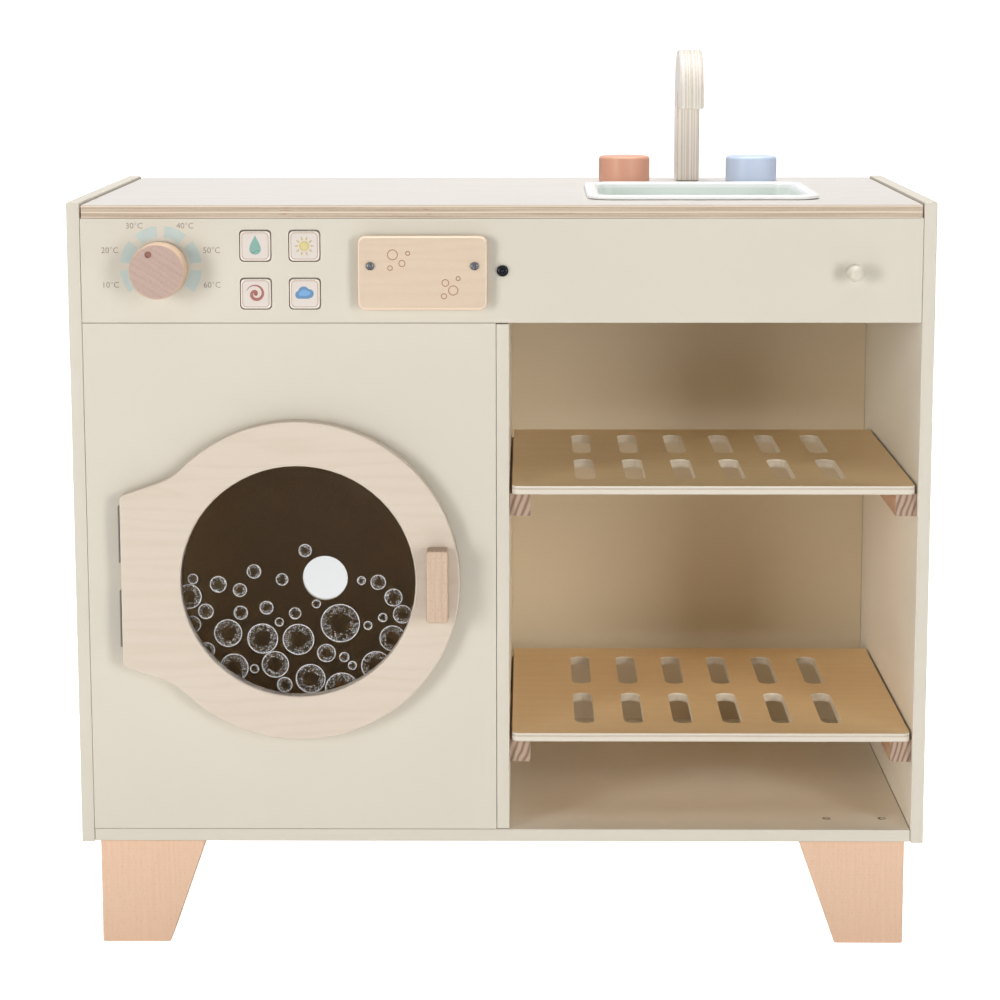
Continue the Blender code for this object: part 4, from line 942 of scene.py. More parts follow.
def mesh_of(name, shape, *materials):
    mesh = bpy.data.meshes.new(name)
    shape.to_mesh(mesh)
    shape.free()
    for material in materials:
        mesh.materials.append(material)
    return mesh


def solid_of(name, *materials):
    """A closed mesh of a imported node's shape, its doubled corners merged and its flat faces whole."""
    shape = bmesh.new()
    shape.from_mesh(frame["nodes"][name].data)
    bmesh.ops.remove_doubles(shape, verts=shape.verts, dist=MERGE)
    bmesh.ops.dissolve_limit(shape, angle_limit=FLAT_ANGLE, verts=shape.verts, edges=shape.edges)
    return mesh_of(name, shape, *materials)


def stacked(meshes):
    """One shape of a few meshes. The meshes are removed."""
    shape = bmesh.new()
    for mesh in meshes:
        shape.from_mesh(mesh)
        bpy.data.meshes.remove(mesh)
    return shape


def holder_of(name, data):
    made = bpy.data.objects.new(name, data)
    bpy.context.scene.collection.objects.link(made)
    return made


def plain_copy(holder):
    """The mesh that an object's modifiers give, as plain data. The object is removed."""
    bpy.context.view_layer.update()
    graph = bpy.context.evaluated_depsgraph_get()
    shown = holder.evaluated_get(graph)
    mesh = bpy.data.meshes.new_from_object(shown, preserve_all_data_layers=True, depsgraph=graph)
    bpy.data.objects.remove(holder)
    return mesh


def evened(name, mesh):
    """Smooth shading that leaves broad flat faces flat, baked into the mesh's own normals."""
    for face in mesh.polygons:
        face.use_smooth = True
    mesh.set_sharp_from_angle(angle=SHARP_ANGLE)
    holder = holder_of(name + "_shape", mesh)
    holder.modifiers.new("even", "WEIGHTED_NORMAL").keep_sharp = True
    return plain_copy(holder)


def carved(name, mesh, cutters):
    """A mesh with the cutters' meshes taken out of it. Cut faces keep the cutters' materials."""
    holder = holder_of(name + "_block", mesh)
    tools = [holder_of(f"{name}_cutter_{number}", cutter) for number, cutter in enumerate(cutters)]
    for tool in tools:
        modifier = holder.modifiers.new("cut", "BOOLEAN")
        modifier.operation = "DIFFERENCE"
        modifier.solver = "EXACT"
        modifier.material_mode = "TRANSFER"
        modifier.object = tool
    made = plain_copy(holder)
    for tool in tools:
        bpy.data.objects.remove(tool)
    return made


def mount(name, mesh, body, stands_for=()):
    """A finished piece on a body: its place is in its mesh."""
    made = holder_of(name, mesh)
    mesh.name = name
    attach(made, body)
    if stands_for:
        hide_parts(*stands_for)
    return made


def stand_in(name, mesh, suffix="_finished"):
    """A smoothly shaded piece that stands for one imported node, on that node's body."""
    return mount(name + suffix, evened(name, mesh), body_of_node(name), [name])


def dress(name, material):
    """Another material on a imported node."""
    data = frame["nodes"][name].data
    data.materials.clear()
    data.materials.append(material)


def fair(name, material, raised=0.0):
    """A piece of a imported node's own shape in another finish. raised lifts its top face."""
    mesh = solid_of(name, material)
    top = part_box(name)[1].z - 0.002
    for corner in mesh.vertices:
        if raised and corner.co.z > top:
            corner.co.z += raised
    return stand_in(name, mesh)


def skinned(rings, looped=False, capped=False):
    """A shape over rings of points, each joined to the next one. A ring may be a single point."""
    shape = bmesh.new()
    rings = [[shape.verts.new(point) for point in ring] for ring in rings]
    steps = max(len(ring) for ring in rings)
    next_rings = rings[1:] + rings[:1] if looped else rings[1:]
    for low, high in zip(rings, next_rings):
        for step in range(steps):
            turns = ((low, step), (low, step + 1), (high, step + 1), (high, step))
            corners = [ring[place % len(ring)] for ring, place in turns]
            kept = [corner for number, corner in enumerate(corners) if corner not in corners[:number]]
            if len(kept) > 2:
                shape.faces.new(kept)
    if capped:
        shape.faces.new(reversed(rings[0]))
        shape.faces.new(rings[-1])
    bmesh.ops.recalc_face_normals(shape, faces=shape.faces)
    return shape


def around(steps, start=0, end=None):
    """Points on a circle of radius 1 at even steps of a turn, from one step up to another."""
    for step in range(start, steps if end is None else end):
        turn = math.tau * step / steps
        yield math.cos(turn), math.sin(turn)


def ring_points(radius, steps):
    return [(radius * x, radius * y) for x, y in around(steps)]


def at_height(outline, height):
    return [(x, y, height) for x, y in outline]


def turned(profile, steps=TURN_STEPS):
    """A solid turned round +Z from (radius, height) points that start and end on the axis."""
    rings = []
    for radius, height in profile:
        outline = ring_points(radius, steps) if radius > 0 else [(0, 0)]
        rings.append(at_height(outline, height))
    return skinned(rings)


def slab(outline, thickness=PRINT_THICKNESS):
    """A flat plate of an outline in X and Y, from height 0 up to a thickness."""
    return skinned([at_height(outline, 0), at_height(outline, thickness)], capped=True)


def band(inner, outer, thickness=PRINT_THICKNESS):
    """A flat frame between two outlines of like point counts."""
    loops = ((inner, 0), (inner, thickness), (outer, thickness), (outer, 0))
    return skinned([at_height(*loop) for loop in loops], looped=True)


def rounded_end(radius, height, edge, steps=8):
    """Profile points of a quarter round from a side wall to a flat end, and the end's middle."""
    quarter = around(steps * 4, end=steps + 1)
    return [(radius - edge + edge * x, height - edge + edge * y) for x, y in quarter] + [(0, height)]


def rounded_square(side, corner, steps=6):
    """Outline of a square with rounded corners, its middle at the origin."""
    half = side / 2 - corner
    points = []
    for number, (across, up) in enumerate(((1, 1), (-1, 1), (-1, -1), (1, -1))):
        for x, y in around(steps * 4, steps * number, steps * (number + 1) + 1):
            points.append((across * half + corner * x, up * half + corner * y))
    return points


def facing(centre, direction):
    """Carries what was made round +Z to a centre, with +Z turned to a direction."""
    return Matrix.Translation(centre) @ Vector(direction).to_track_quat("Z", "Y").to_matrix().to_4x4()


def front_frame(centre):
    """Carries a flat drawing in X and Y, seen from +Z, to the cabinet's front: right is +X, up is +Z."""
    return Matrix.Translation(centre) @ Matrix.Rotation(math.pi / 2, 4, "X")


# Geometry groups for what repeats


def geometry_group(name, inputs):
    """A geometry node group, a material among its inputs. Gives wires by name and the end socket."""
    inputs = {"Geometry": "Geometry", **inputs, "Material": "Material"}
    given, made = node_group("GeometryNodeTree", name, inputs, {"Geometry": "Geometry"})
    return given, made["Geometry"]


def ended(end, geometry, material):
    """The last two nodes of every geometry group: real geometry, in one material."""
    real = put(end.id_data, "GeometryNodeRealizeInstances", {"Geometry": geometry})
    feed(end, put(end.id_data, "GeometryNodeSetMaterial", {"Geometry": real, "Material": material}))


def set_on(points, instance, **more):
    """An instance on each point, with a rotation or a scale if more says so."""
    given = {"Points": points, "Instance": instance, **more}
    return put(tree_with(points), "GeometryNodeInstanceOnPoints", given)


def chance_of(index, seed):
    """A random number from 0 to 1 for each index."""
    return put(tree_with(index), "FunctionNodeRandomValue", {"ID": index, "Seed": seed}, 1, data_type="FLOAT")


def size_of_points(tree):
    return put(tree, "GeometryNodeInputNamedAttribute", {"Name": "size"}, data_type="FLOAT")


def hoops(points, steps, wire):
    """A wire bent into a ring on each point, in the point's own size."""
    tree = tree_with(points)
    circle = put(tree, "GeometryNodeCurvePrimitiveCircle", {"Resolution": steps, "Radius": 1.0})
    rings = set_on(points, circle, Scale=size_of_points(tree))
    real = put(tree, "GeometryNodeRealizeInstances", {"Geometry": rings})
    return put(tree, "GeometryNodeCurveToMesh", {"Curve": real, "Profile Curve": wire})


def scale_group():
    """Printed marks of a dial: one curved bar, repeated round the middle."""
    inputs = {
        "Inner Radius": 0.02, "Outer Radius": 0.028, "Marks": 6, "First": 0.0, "Step": 0.7, "Sweep": 0.5,
    }
    given, end = geometry_group("Dial scale", inputs)
    tree = end.id_data
    bar = put(tree, "GeometryNodeMeshCube", {"Size": (1, 1, 1), "Vertices X": 18})
    across, out, up = parts_of(put(tree, "GeometryNodeInputPosition"))
    turn = across * given["Sweep"]
    radius = (out + 0.5) * (given["Outer Radius"] - given["Inner Radius"]) + given["Inner Radius"]
    height = (up + 0.5) * PRINT_THICKNESS
    curved = vector_of(radius * calc("COSINE", turn), radius * calc("SINE", turn), height)
    bar = put(tree, "GeometryNodeSetPosition", {"Geometry": bar, "Position": curved})
    line = put(tree, "GeometryNodeMeshLine", {"Count": given["Marks"], "Offset": (0, 0, 0)})
    about = put(tree, "GeometryNodeInputIndex") * given["Step"] + given["First"]
    ended(end, set_on(line, bar, Rotation=vector_of(0, 0, about)), given["Material"])


def froth_group():
    """Printed bubbles: on each point a thin ring, and dots that crowd towards it, up to a reach."""
    inputs = {"Rim": 0.0004, "Dots": 300, "Largest": 0.0135, "Dot Radius": 0.0002, "Reach": 0.0855, "Seed": 3}
    given, end = geometry_group("Froth", inputs)
    tree = end.id_data
    points = given["Geometry"]
    rim = {"Width": given["Rim"], "Height": PRINT_THICKNESS}
    rings = hoops(points, 40, put(tree, "GeometryNodeCurvePrimitiveQuadrilateral", rim))
    size = size_of_points(tree)
    amount = (size / given["Largest"]) ** 1.5 * given["Dots"]
    many = {"Geometry": points, "Amount": amount}
    copies = put(tree, "GeometryNodeDuplicateElements", many, domain="POINT")
    index = put(tree, "GeometryNodeInputIndex")
    about, inward, wide = (chance_of(index, given["Seed"] + number) for number in range(3))
    about = about * math.tau
    away = (0.985 - inward ** 2.3 * 0.46) * size
    offset = vector_of(away * calc("COSINE", about), away * calc("SINE", about))
    copies = put(tree, "GeometryNodeSetPosition", {"Geometry": copies, "Offset": offset})
    dot = put(tree, "GeometryNodeMeshCylinder", {"Vertices": 5, "Radius": 1.0, "Depth": PRINT_THICKNESS})
    wide = given["Dot Radius"] * (wide * 0.9 + 0.55)
    dots = set_on(copies, dot, Rotation=vector_of(0, 0, about), Scale=vector_of(wide, wide, 1.0))
    both = tree.nodes.new("GeometryNodeJoinGeometry")
    for part in (rings, dots):
        feed(both.inputs[0], part)
    real = put(tree, "GeometryNodeRealizeInstances", {"Geometry": Wire(both.outputs[0])})
    flat = vector_calc("MULTIPLY", put(tree, "GeometryNodeInputPosition"), (1, 1, 0))
    beyond = calc("GREATER_THAN", vector_calc("LENGTH", flat), given["Reach"])
    kept = put(tree, "GeometryNodeDeleteGeometry", {"Geometry": real, "Selection": beyond}, domain="FACE")
    ended(end, kept, given["Material"])


def fastener_group():
    """One screw, bolt or cap, repeated on points, each turned a little differently."""
    given, end = geometry_group("Fasteners", {"Head": "Object", "Facing": "Rotation", "Seed": 1})
    tree = end.id_data
    head = put(tree, "GeometryNodeObjectInfo", {"Object": given["Head"]}, "Geometry")
    chance = chance_of(put(tree, "GeometryNodeInputIndex"), given["Seed"])
    own = put(tree, "FunctionNodeEulerToRotation", {0: vector_of(0, 0, chance * math.tau)})
    both = {"Rotation": given["Facing"], "Rotate By": own}
    turn = put(tree, "FunctionNodeRotateRotation", both, rotation_space="LOCAL")
    ended(end, set_on(given["Geometry"], head, Rotation=turn), given["Material"])


def coil_group():
    """A wire wound into a spring along +Z."""
    given, end = geometry_group("Coil", {"Turns": 6.0, "Radius": 0.0036, "Height": 0.009, "Wire": 0.0004})
    tree = end.id_data
    path = put(tree, "GeometryNodeCurveSpiral", {
        "Resolution": 28, "Rotations": given["Turns"], "Start Radius": given["Radius"],
        "End Radius": given["Radius"], "Height": given["Height"],
    })
    wire = put(tree, "GeometryNodeCurvePrimitiveCircle", {"Resolution": 8, "Radius": given["Wire"]})
    sweep = put(tree, "GeometryNodeCurveToMesh", {"Curve": path, "Profile Curve": wire, "Fill Caps": True})
    ended(end, sweep, given["Material"])


def groove_group():
    """Round wires on points, each with its own size, to be cut out as grooves."""
    given, end = geometry_group("Engraving rings", {"Groove": 0.0002})
    wire = put(end.id_data, "GeometryNodeCurvePrimitiveCircle", {"Resolution": 6, "Radius": given["Groove"]})
    ended(end, hoops(given["Geometry"], 36, wire), given["Material"])


GROUPS = {
    "Timber": timber_group,
    "End grain": end_grain_group,
    "Ply layers": ply_group,
    "Arris": arris_group,
    "Handling": handling_group,
    "Lacquer": lacquer_group,
    "Inside a box": box_group,
    "Dial scale": scale_group,
    "Froth": froth_group,
    "Fasteners": fastener_group,
    "Coil": coil_group,
    "Engraving rings": groove_group,
}


def group_of(name):
    """A node group by its name, built when it is first asked for."""
    if name not in bpy.data.node_groups:
        GROUPS[name]()
    return bpy.data.node_groups[name]


def grown(name, group, values, source=None):
    """The plain mesh that a geometry group gives, its inputs set by name."""
    holder = holder_of(name + "_seed", source or bpy.data.meshes.new(name))
    modifier = holder.modifiers.new("shape", "NODES")
    modifier.node_group = group_of(group)
    for item in modifier.node_group.interface.items_tree:
        if item.in_out == "INPUT" and item.name in values:
            modifier[item.identifier] = values[item.name]
    return plain_copy(holder)


def points_mesh(name, places, sizes=()):
    mesh = bpy.data.meshes.new(name)
    mesh.from_pydata([tuple(place) for place in places], [], [])
    if sizes:
        mesh.attributes.new("size", "FLOAT", "POINT").data.foreach_set("value", sizes)
    return mesh


def domed_head(name, radius, height, material, hexagon=False, recess=None):
    """A domed screw head on height 0. Its crossed or six-sided recess may be of another material: bright steel
    there is partly worn metal and partly a painted glint.
    """
    neck = radius * 0.55
    steps = 6
    profile = [(0, -height * 0.5), (neck, -height * 0.5), (neck, 0), (radius, 0)]
    profile += [(radius * x ** 0.6, height * (0.35 + 0.65 * y)) for x, y in around(steps * 4, end=steps)]
    block = mesh_of(name, turned(profile + [(0, height)], 32), material)
    cut = recess or material
    if hexagon:
        tool = slab(ring_points(radius * 0.5, 6), height)
        bmesh.ops.translate(tool, verts=tool.verts, vec=(0, 0, height * 0.4))
        return evened(name, carved(name, block, [mesh_of(name + "_hex", tool, cut)]))
    cutters = []
    for turn in (0, math.pi / 2):
        tool = bmesh.new()
        bar = bmesh.ops.create_cube(tool, size=1.0)["verts"]
        for corner in bar:
            low = corner.co.z < 0
            corner.co.x *= 2 * radius * (0.3 if low else 0.62)
            corner.co.y *= radius * 0.26
            corner.co.z = height * (0.25 if low else 1.3)
        bmesh.ops.rotate(tool, verts=bar, cent=(0, 0, 0), matrix=Matrix.Rotation(turn, 3, "Z"))
        cutters.append(mesh_of(name + "_bar", tool, cut))
    return evened(name, carved(name, block, cutters))


def front_screw(name, material, degrees, recess):
    """A screw with a domed head and a crossed recess, which stands for a packed one that faces the front."""
    low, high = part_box(name)
    centre = middle(name)
    radius = (high.x - low.x) / 2
    height = radius * 0.62
    point = height - (high.y - low.y)
    thread = radius * 0.5
    head = domed_head(name + "_head", radius, height, material, recess=recess)
    shank = mesh_of("shank", turned([(0, 0), (thread, 0), (thread, point + 0.003), (0, point)], 24))
    mesh = mesh_of(name, stacked([head, shank]), material, recess)
    spin = Matrix.Rotation(math.radians(degrees), 4, "Z")
    mesh.transform(facing(Vector((centre.x, low.y + height, centre.z)), NEAR) @ spin)
    stand_in(name, mesh)


def set_fasteners(name, head, places, direction, material, seed):
    """Heads on places, all facing one way, as one piece of the cabinet."""
    model = holder_of(name + "_head", head)
    model.hide_render = True
    turn = Vector(direction).to_track_quat("Z", "Y").to_euler()
    values = {"Head": model, "Facing": turn, "Seed": seed, "Material": material}
    mesh = grown(name, "Fasteners", values, points_mesh(name, places))
    bpy.data.objects.remove(model)
    mount(name, mesh, CABINET)


def ink_piece(name, shape, centre, material, body):
    """A flat printed shape on the front, its lowest face at the centre's depth."""
    shape.transform(front_frame(centre))
    mount(name, mesh_of(name, shape, material), body)


# The pieces


class TOYWASHER_OT_boards(bpy.types.Operator):
    """Lacquers the cabinet's boards and gives them smooth corners"""

    bl_idname = "toy_washer.boards"
    bl_label = "Lacquered boards"

    def execute(self, context):
        for side in SIDES:
            fair(side + "_side_board", cream_over_raw())
        fair("front_board", cream_over_raw(), FRONT_BOARD_LIFT)
        fair("control_board", cream_round_buttons())
        for name in ("divider_board", "floor_board"):
            fair(name, cream_over_raw())
        fair("back_board", back_paint_with_shade())
        return {"FINISHED"}


class TOYWASHER_OT_worktop(bpy.types.Operator):
    """Gives the worktop its birch veneer and its layered edge"""

    bl_idname = "toy_washer.worktop"
    bl_label = "Worktop"

    def execute(self, context):
        fair("worktop", worktop_ply())
        return {"FINISHED"}


class TOYWASHER_OT_shelves(bpy.types.Operator):
    """Finishes the slotted shelves and the battens under them"""

    bl_idname = "toy_washer.shelves"
    bl_label = "Shelves and battens"

    def execute(self, context):
        for level in LEVELS:
            fair(level + "_shelf", shelf_ply(level + "_shelf"))
            for side in SIDES:
                dress(f"{level}_{side}_batten", batten_wood())
        return {"FINISHED"}


class TOYWASHER_OT_legs(bpy.types.Operator):
    """Finishes the tapered beech legs"""

    bl_idname = "toy_washer.legs"
    bl_label = "Legs"

    def execute(self, context):
        for row in ROWS:
            for side in SIDES:
                fair(f"{row}_{side}_leg", leg_beech())
        return {"FINISHED"}


class TOYWASHER_OT_door(bpy.types.Operator):
    """Finishes the door ring, its handle, hinges and magnets"""

    bl_idname = "toy_washer.door"
    bl_label = "Door"

    def execute(self, context):
        fair("door_ring", door_wood())
        fair("door_handle", handle_beech())
        hinge_metal = metal("Hinge metal", tuple(settings().fittings.dull), 0.55)
        for level in LEVELS:
            for part in ("hinge_board_leaf", "hinge_door_leaf", "hinge_pin"):
                dress(f"{level}_{part}", hinge_metal)
            dress(level + "_handle_screw", bright_steel())
        for name in ("board_magnet", "door_magnet"):
            dress(name, bright_steel())
        return {"FINISHED"}


def froth_layout(given, reach):
    """Centres and radii of bubbles that pile up low in the window, clear of each other and of the vent."""
    chance = random.Random(given.seed)
    vent = (given.vent_across, given.vent_up, given.vent_reach)
    kept = []
    for tried in range(given.bubbles):
        big = tried < given.bubbles * BIG_SHARE
        part = chance.uniform(0.45, 1.0) if big else chance.random() ** 1.3 * 0.5
        size = given.smallest + (given.largest - given.smallest) * part
        turn = chance.uniform(0, math.tau)
        away = math.sqrt(chance.random()) * (reach + size * 0.4)
        across, up = away * math.cos(turn), away * math.sin(turn)
        level = reach * (0.1 * math.sin(across / reach * 4.0) - 0.28)
        top = level - size * 0.9 if big else level + reach * 0.55 * chance.random() ** 2.5
        clear = all(math.hypot(across - x, up - y) >= size + r + BUBBLE_GAP for x, y, r in kept + [vent])
        if up <= top and clear:
            kept.append((across, up, size))
        if len(kept) >= MOST_BUBBLES:
            break
    return kept


class TOYWASHER_OT_window(bpy.types.Operator):
    """Makes the clear window and prints froth on it"""

    bl_idname = "toy_washer.window"
    bl_label = "Window"

    def execute(self, context):
        given = settings().window
        fair("door_window", clear_sheet())
        low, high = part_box("door_window")
        centre = middle("door_window")
        centre.y = low.y - PRINT_GAP
        reach = (high.x - low.x) / 2 - PRINT_MARGIN
        bubbles = froth_layout(given, reach - LAYOUT_MARGIN)
        source = points_mesh("froth", [(x, y, 0) for x, y, r in bubbles], [r for x, y, r in bubbles])
        values = {
            "Rim": given.rim, "Dots": given.dots, "Largest": given.largest, "Dot Radius": given.dot_radius,
            "Reach": reach, "Seed": given.seed, "Material": printed("Froth ink", tuple(given.ink), 0.5, 0.1),
        }
        mesh = grown("froth", "Froth", values, source)
        mesh.transform(front_frame(centre))
        mount("froth_print", mesh, DOOR)
        return {"FINISHED"}


def label(name, words, height, place, material):
    """A printed number on the cabinet's front, its middle at a place."""
    curve = bpy.data.curves.new(name, "FONT")
    curve.body = words
    curve.size = height
    curve.align_x = "CENTER"
    curve.align_y = "CENTER"
    curve.extrude = PRINT_THICKNESS / 2
    curve.offset = -0.00007
    curve.resolution_u = 3
    mesh = plain_copy(holder_of(name + "_letters", curve))
    mesh.materials.clear()
    mesh.materials.append(material)
    mesh.transform(front_frame(place))
    mount(name, mesh, CABINET)


class TOYWASHER_OT_dial(bpy.types.Operator):
    """Turns the dial and prints its temperature scale"""

    bl_idname = "toy_washer.dial"
    bl_label = "Dial"

    def execute(self, context):
        given = settings().dial
        low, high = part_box("dial_knob")
        radius, deep = (high.x - low.x) / 2, high.y - low.y
        back_edge, front_edge = 0.0006, 0.0014
        profile = [(0, 0), (radius - back_edge, 0), (radius, back_edge)]
        knob = turned(profile + rounded_end(radius, deep, front_edge), 96)
        centre = middle("dial_knob")
        knob.transform(facing(Vector((centre.x, high.y, centre.z)), NEAR))
        dot_turn, dot_reach = math.radians(114), 0.013
        dot = turned([(0, -0.001), (0.0016, -0.0009), (0.0023, -0.0004), (0.0025, 0.001), (0, 0.001)], 32)
        aside = Vector((math.cos(dot_turn), 0, math.sin(dot_turn))) * dot_reach
        dot.transform(facing(Vector((centre.x, low.y, centre.z)) + aside, NEAR))
        # The sunk dot is coloured darker than the dial.
        hole = printed("Stained hole", seen(150, 104, 92), 0.7, 0.15)
        made = carved("dial", mesh_of("dial_block", knob, dial_beech()), [mesh_of("dial_dot", dot, hole)])
        stand_in("dial_knob", made, "_turned")
        for name in ("dial_washer", "dial_bolt"):
            dress(name, bright_steel())
        on_board = Vector((centre.x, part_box("control_board")[0].y - PRINT_GAP, centre.z + 0.0012))
        values = {
            "Inner Radius": given.inner, "Outer Radius": given.outer, "Marks": given.marks,
            "First": given.first, "Step": given.step, "Sweep": given.sweep,
            "Material": printed("Scale ink", tuple(given.scale_ink)),
        }
        marks = grown("dial_scale", "Dial scale", values)
        marks.transform(front_frame(on_board))
        mount("dial_scale_print", marks, CABINET)
        letter_ink = printed("Letter ink", tuple(given.letter_ink))
        lowest, middling, highest = -0.0127, 0.0113, 0.0283
        places = [(-0.0352, lowest), (-0.0352, middling), (-0.0180, highest)]
        places += [(0.0172, highest), (0.0352, middling), (0.0352, lowest)]
        for number, (across, up) in enumerate(places):
            degrees = (number + 1) * 10
            place = on_board + Vector((across, -PRINT_THICKNESS / 2, up))
            label(f"scale_number_{degrees}", f"{degrees}°C", given.lettering, place, letter_ink)
        return {"FINISHED"}


def drop_outline(reach):
    points = []
    for step in range(40):
        turn = math.tau * step / 40
        width = math.sin(turn) * abs(math.sin(turn / 2)) ** 1.6
        points.append((reach * 0.84 * width, reach * (0.12 + math.cos(turn))))
    return points


def water_outline(reach):
    """A wavy band across the foot of the drop."""
    line = [(x, 0.12 * math.sin(x * 7) - 0.5) for x in (0.84 * step / 20 - 0.42 for step in range(21))]
    return [(reach * x, reach * y) for x, y in line + [(x, y - 0.13) for x, y in reversed(line)]]


def ray_outline(reach, along, inner=0.64, outer=0.98, width=0.1):
    """One ray of the sun, narrower at its tip."""
    side = Vector((-along.y, along.x)) * width
    near, far = along * inner, along * outer
    return [tuple(corner * reach) for corner in (near - side, far - side / 2, far + side / 2, near + side)]


def whirl_outline(reach):
    """A curled arm that grows wider from its tip to its middle."""
    outer, inner = [], []
    steps = 45
    for step in range(steps + 1):
        along = step / steps
        turn = math.tau * 1.45 * along
        away = reach * (0.12 + 0.86 * along)
        thick = reach * (0.15 * math.sin(math.pi * min(1.0, along * 0.92 + 0.08)) + 0.02)
        outer.append(((away + thick) * math.cos(turn), (away + thick) * math.sin(turn)))
        inner.append(((away - thick) * math.cos(turn), (away - thick) * math.sin(turn)))
    return outer + inner[::-1]


def cloud_outline(reach):
    """The outer line of a few discs in a row on a flat foot, traced from its middle."""
    discs = [(-0.55, -0.1, 0.42), (-0.1, 0.2, 0.56), (0.45, 0.02, 0.46), (0.0, -0.2, 0.5)]
    foot = 0.5
    points = []
    for ray in around(72):
        far = 0.1
        for x, y, radius in discs:
            along = ray[0] * x + ray[1] * y
            inside = radius * radius - (x * x + y * y - along * along)
            if inside > 0:
                far = max(far, along + math.sqrt(inside))
        if ray[1] < 0:
            far = min(far, foot / max(-ray[1], 0.001))
        points.append((reach * far * ray[0], reach * far * ray[1]))
    return points


def motifs(reach):
    """For each button an ink, and layers of it: a shade, a level above the ground, and outlines."""
    sun, sun_middle = ring_points(reach * 0.52, 40), ring_points(reach * 0.36, 32)
    rays = [ray_outline(reach, Vector(along)) for along in around(10)]
    cloud_line = cloud_outline(reach)
    inner_cloud = [(x * 0.62, y * 0.5 + reach * 0.06) for x, y in cloud_line]
    return {
        "upper_left": ("mint", [(1.0, 1, [drop_outline(reach)]), (0.75, 2, [water_outline(reach)])]),
        "upper_right": ("yellow", [(1.0, 1, [sun]), (0.9, 1, rays), (1.12, 2, [sun_middle])]),
        "lower_left": ("red", [(1.0, 1, [whirl_outline(reach)]), (0.8, 2, [ring_points(reach * 0.2, 24)])]),
        "lower_right": ("blue", [(1.0, 1, [cloud_line]), (1.45, 2, [inner_cloud])]),
    }


class TOYWASHER_OT_buttons(bpy.types.Operator):
    """Finishes the four push buttons and prints a plain motif on each"""

    bl_idname = "toy_washer.buttons"
    bl_label = "Push buttons"

    def execute(self, context):
        given = settings().buttons
        inner = rounded_square(given.print_size, given.corner)
        outer = rounded_square(given.print_size + given.line * 2, given.corner + given.line)
        white_ink = printed("White ink", tuple(given.white), 0.5, 0.03)
        line_ink = printed("Line ink", tuple(given.line_ink))
        for place, (ink, layers) in motifs(given.motif).items():
            body = place + "_push_button"
            name = place + "_button"
            fair(name, button_wood())
            centre = middle(name)
            centre.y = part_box(name)[0].y - PRINT_GAP
            ink_piece(place + "_ground", slab(inner), centre, white_ink, body)
            ink_piece(place + "_line", band(inner, outer), centre, line_ink, body)
            for number, (factor, level, outlines) in enumerate(layers):
                lifted = centre + NEAR * (PRINT_THICKNESS + PRINT_GAP) * level
                parts = stacked([mesh_of("motif_part", slab(outline)) for outline in outlines])
                material = printed(f"{ink.capitalize()} ink {factor}", shade(getattr(given, ink), factor))
                ink_piece(f"{place}_motif_{number}", parts, lifted, material, body)
        return {"FINISHED"}


# Rings on the soap plate: across and up from its middle, and the radius
SOAP_RINGS = (
    (-0.0205, 0.0128, 0.0034),
    (-0.0140, 0.0068, 0.0021),
    (-0.0222, 0.0036, 0.0016),
    (-0.0100, 0.0138, 0.0014),
    (0.0212, -0.0118, 0.0032),
    (0.0148, -0.0158, 0.0018),
    (0.0158, -0.0066, 0.0023),
    (0.0246, -0.0036, 0.0014),
)


class TOYWASHER_OT_soap_drawer(bpy.types.Operator):
    """Finishes the soap drawer and engraves rings on its front"""

    bl_idname = "toy_washer.soap_drawer"
    bl_label = "Soap drawer"

    def execute(self, context):
        given = settings().soap
        places = [(x, y, given.groove - given.depth) for x, y, r in SOAP_RINGS]
        source = points_mesh("soap_rings", places, [r for x, y, r in SOAP_RINGS])
        scorch = printed("Scorched groove", tuple(given.scorch), 0.7, 0.2)
        grooves = grown("soap_rings", "Engraving rings", {"Groove": given.groove, "Material": scorch}, source)
        centre = middle("soap_plate")
        grooves.transform(front_frame(Vector((centre.x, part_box("soap_plate")[0].y, centre.z))))
        plate = carved("soap", solid_of("soap_plate", soap_beech()), [grooves])
        stand_in("soap_plate", plate, "_engraved")
        for name in ("soap_tray", "soap_runner"):
            dress(name, drawer_wood())
        for side, degrees in zip(SIDES, (20, -35)):
            # The recess is of bright steel: partly worn metal, partly a painted glint.
            front_screw(side + "_soap_screw", screw_steel(), degrees, bright_steel())
        return {"FINISHED"}


class TOYWASHER_OT_peg(bpy.types.Operator):
    """Turns the small peg and sets the screw beside the soap drawer"""

    bl_idname = "toy_washer.peg"
    bl_label = "Peg and control screw"

    def execute(self, context):
        low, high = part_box("cloth_peg")
        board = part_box("control_board")[0].y
        out = board - low.y
        ball = (high.x - low.x) / 2
        root = [(0, -0.007), (0.0025, -0.007), (0.0025, 0.0)]
        foot = [(0.0053, 0.0002), (0.0053, 0.0011), (0.0047, 0.0019), (0.0034, 0.0026)]
        neck = [(0.0028, 0.0038), (0.0029, out - ball * 1.86)]
        knob = [(ball * y, out - ball - ball * x) for x, y in around(48, 4, 24)]
        profile = root + foot + neck + knob + [(0, out)]
        peg = turned(profile, 48)
        centre = middle("cloth_peg")
        peg.transform(facing(Vector((centre.x, board, centre.z)), NEAR))
        stand_in("cloth_peg", mesh_of("cloth_peg", peg, cream_lacquer()), "_turned")
        # The recess is of lighter steel than the black head: partly worn metal, partly a painted glint.
        front_screw("control_screw", black_steel(), 30, screw_steel())
        return {"FINISHED"}


class TOYWASHER_OT_sink(bpy.types.Operator):
    """Finishes the sink with its white rim"""

    bl_idname = "toy_washer.sink"
    bl_label = "Sink"

    def execute(self, context):
        fair("sink_basin", sink_enamel())
        return {"FINISHED"}


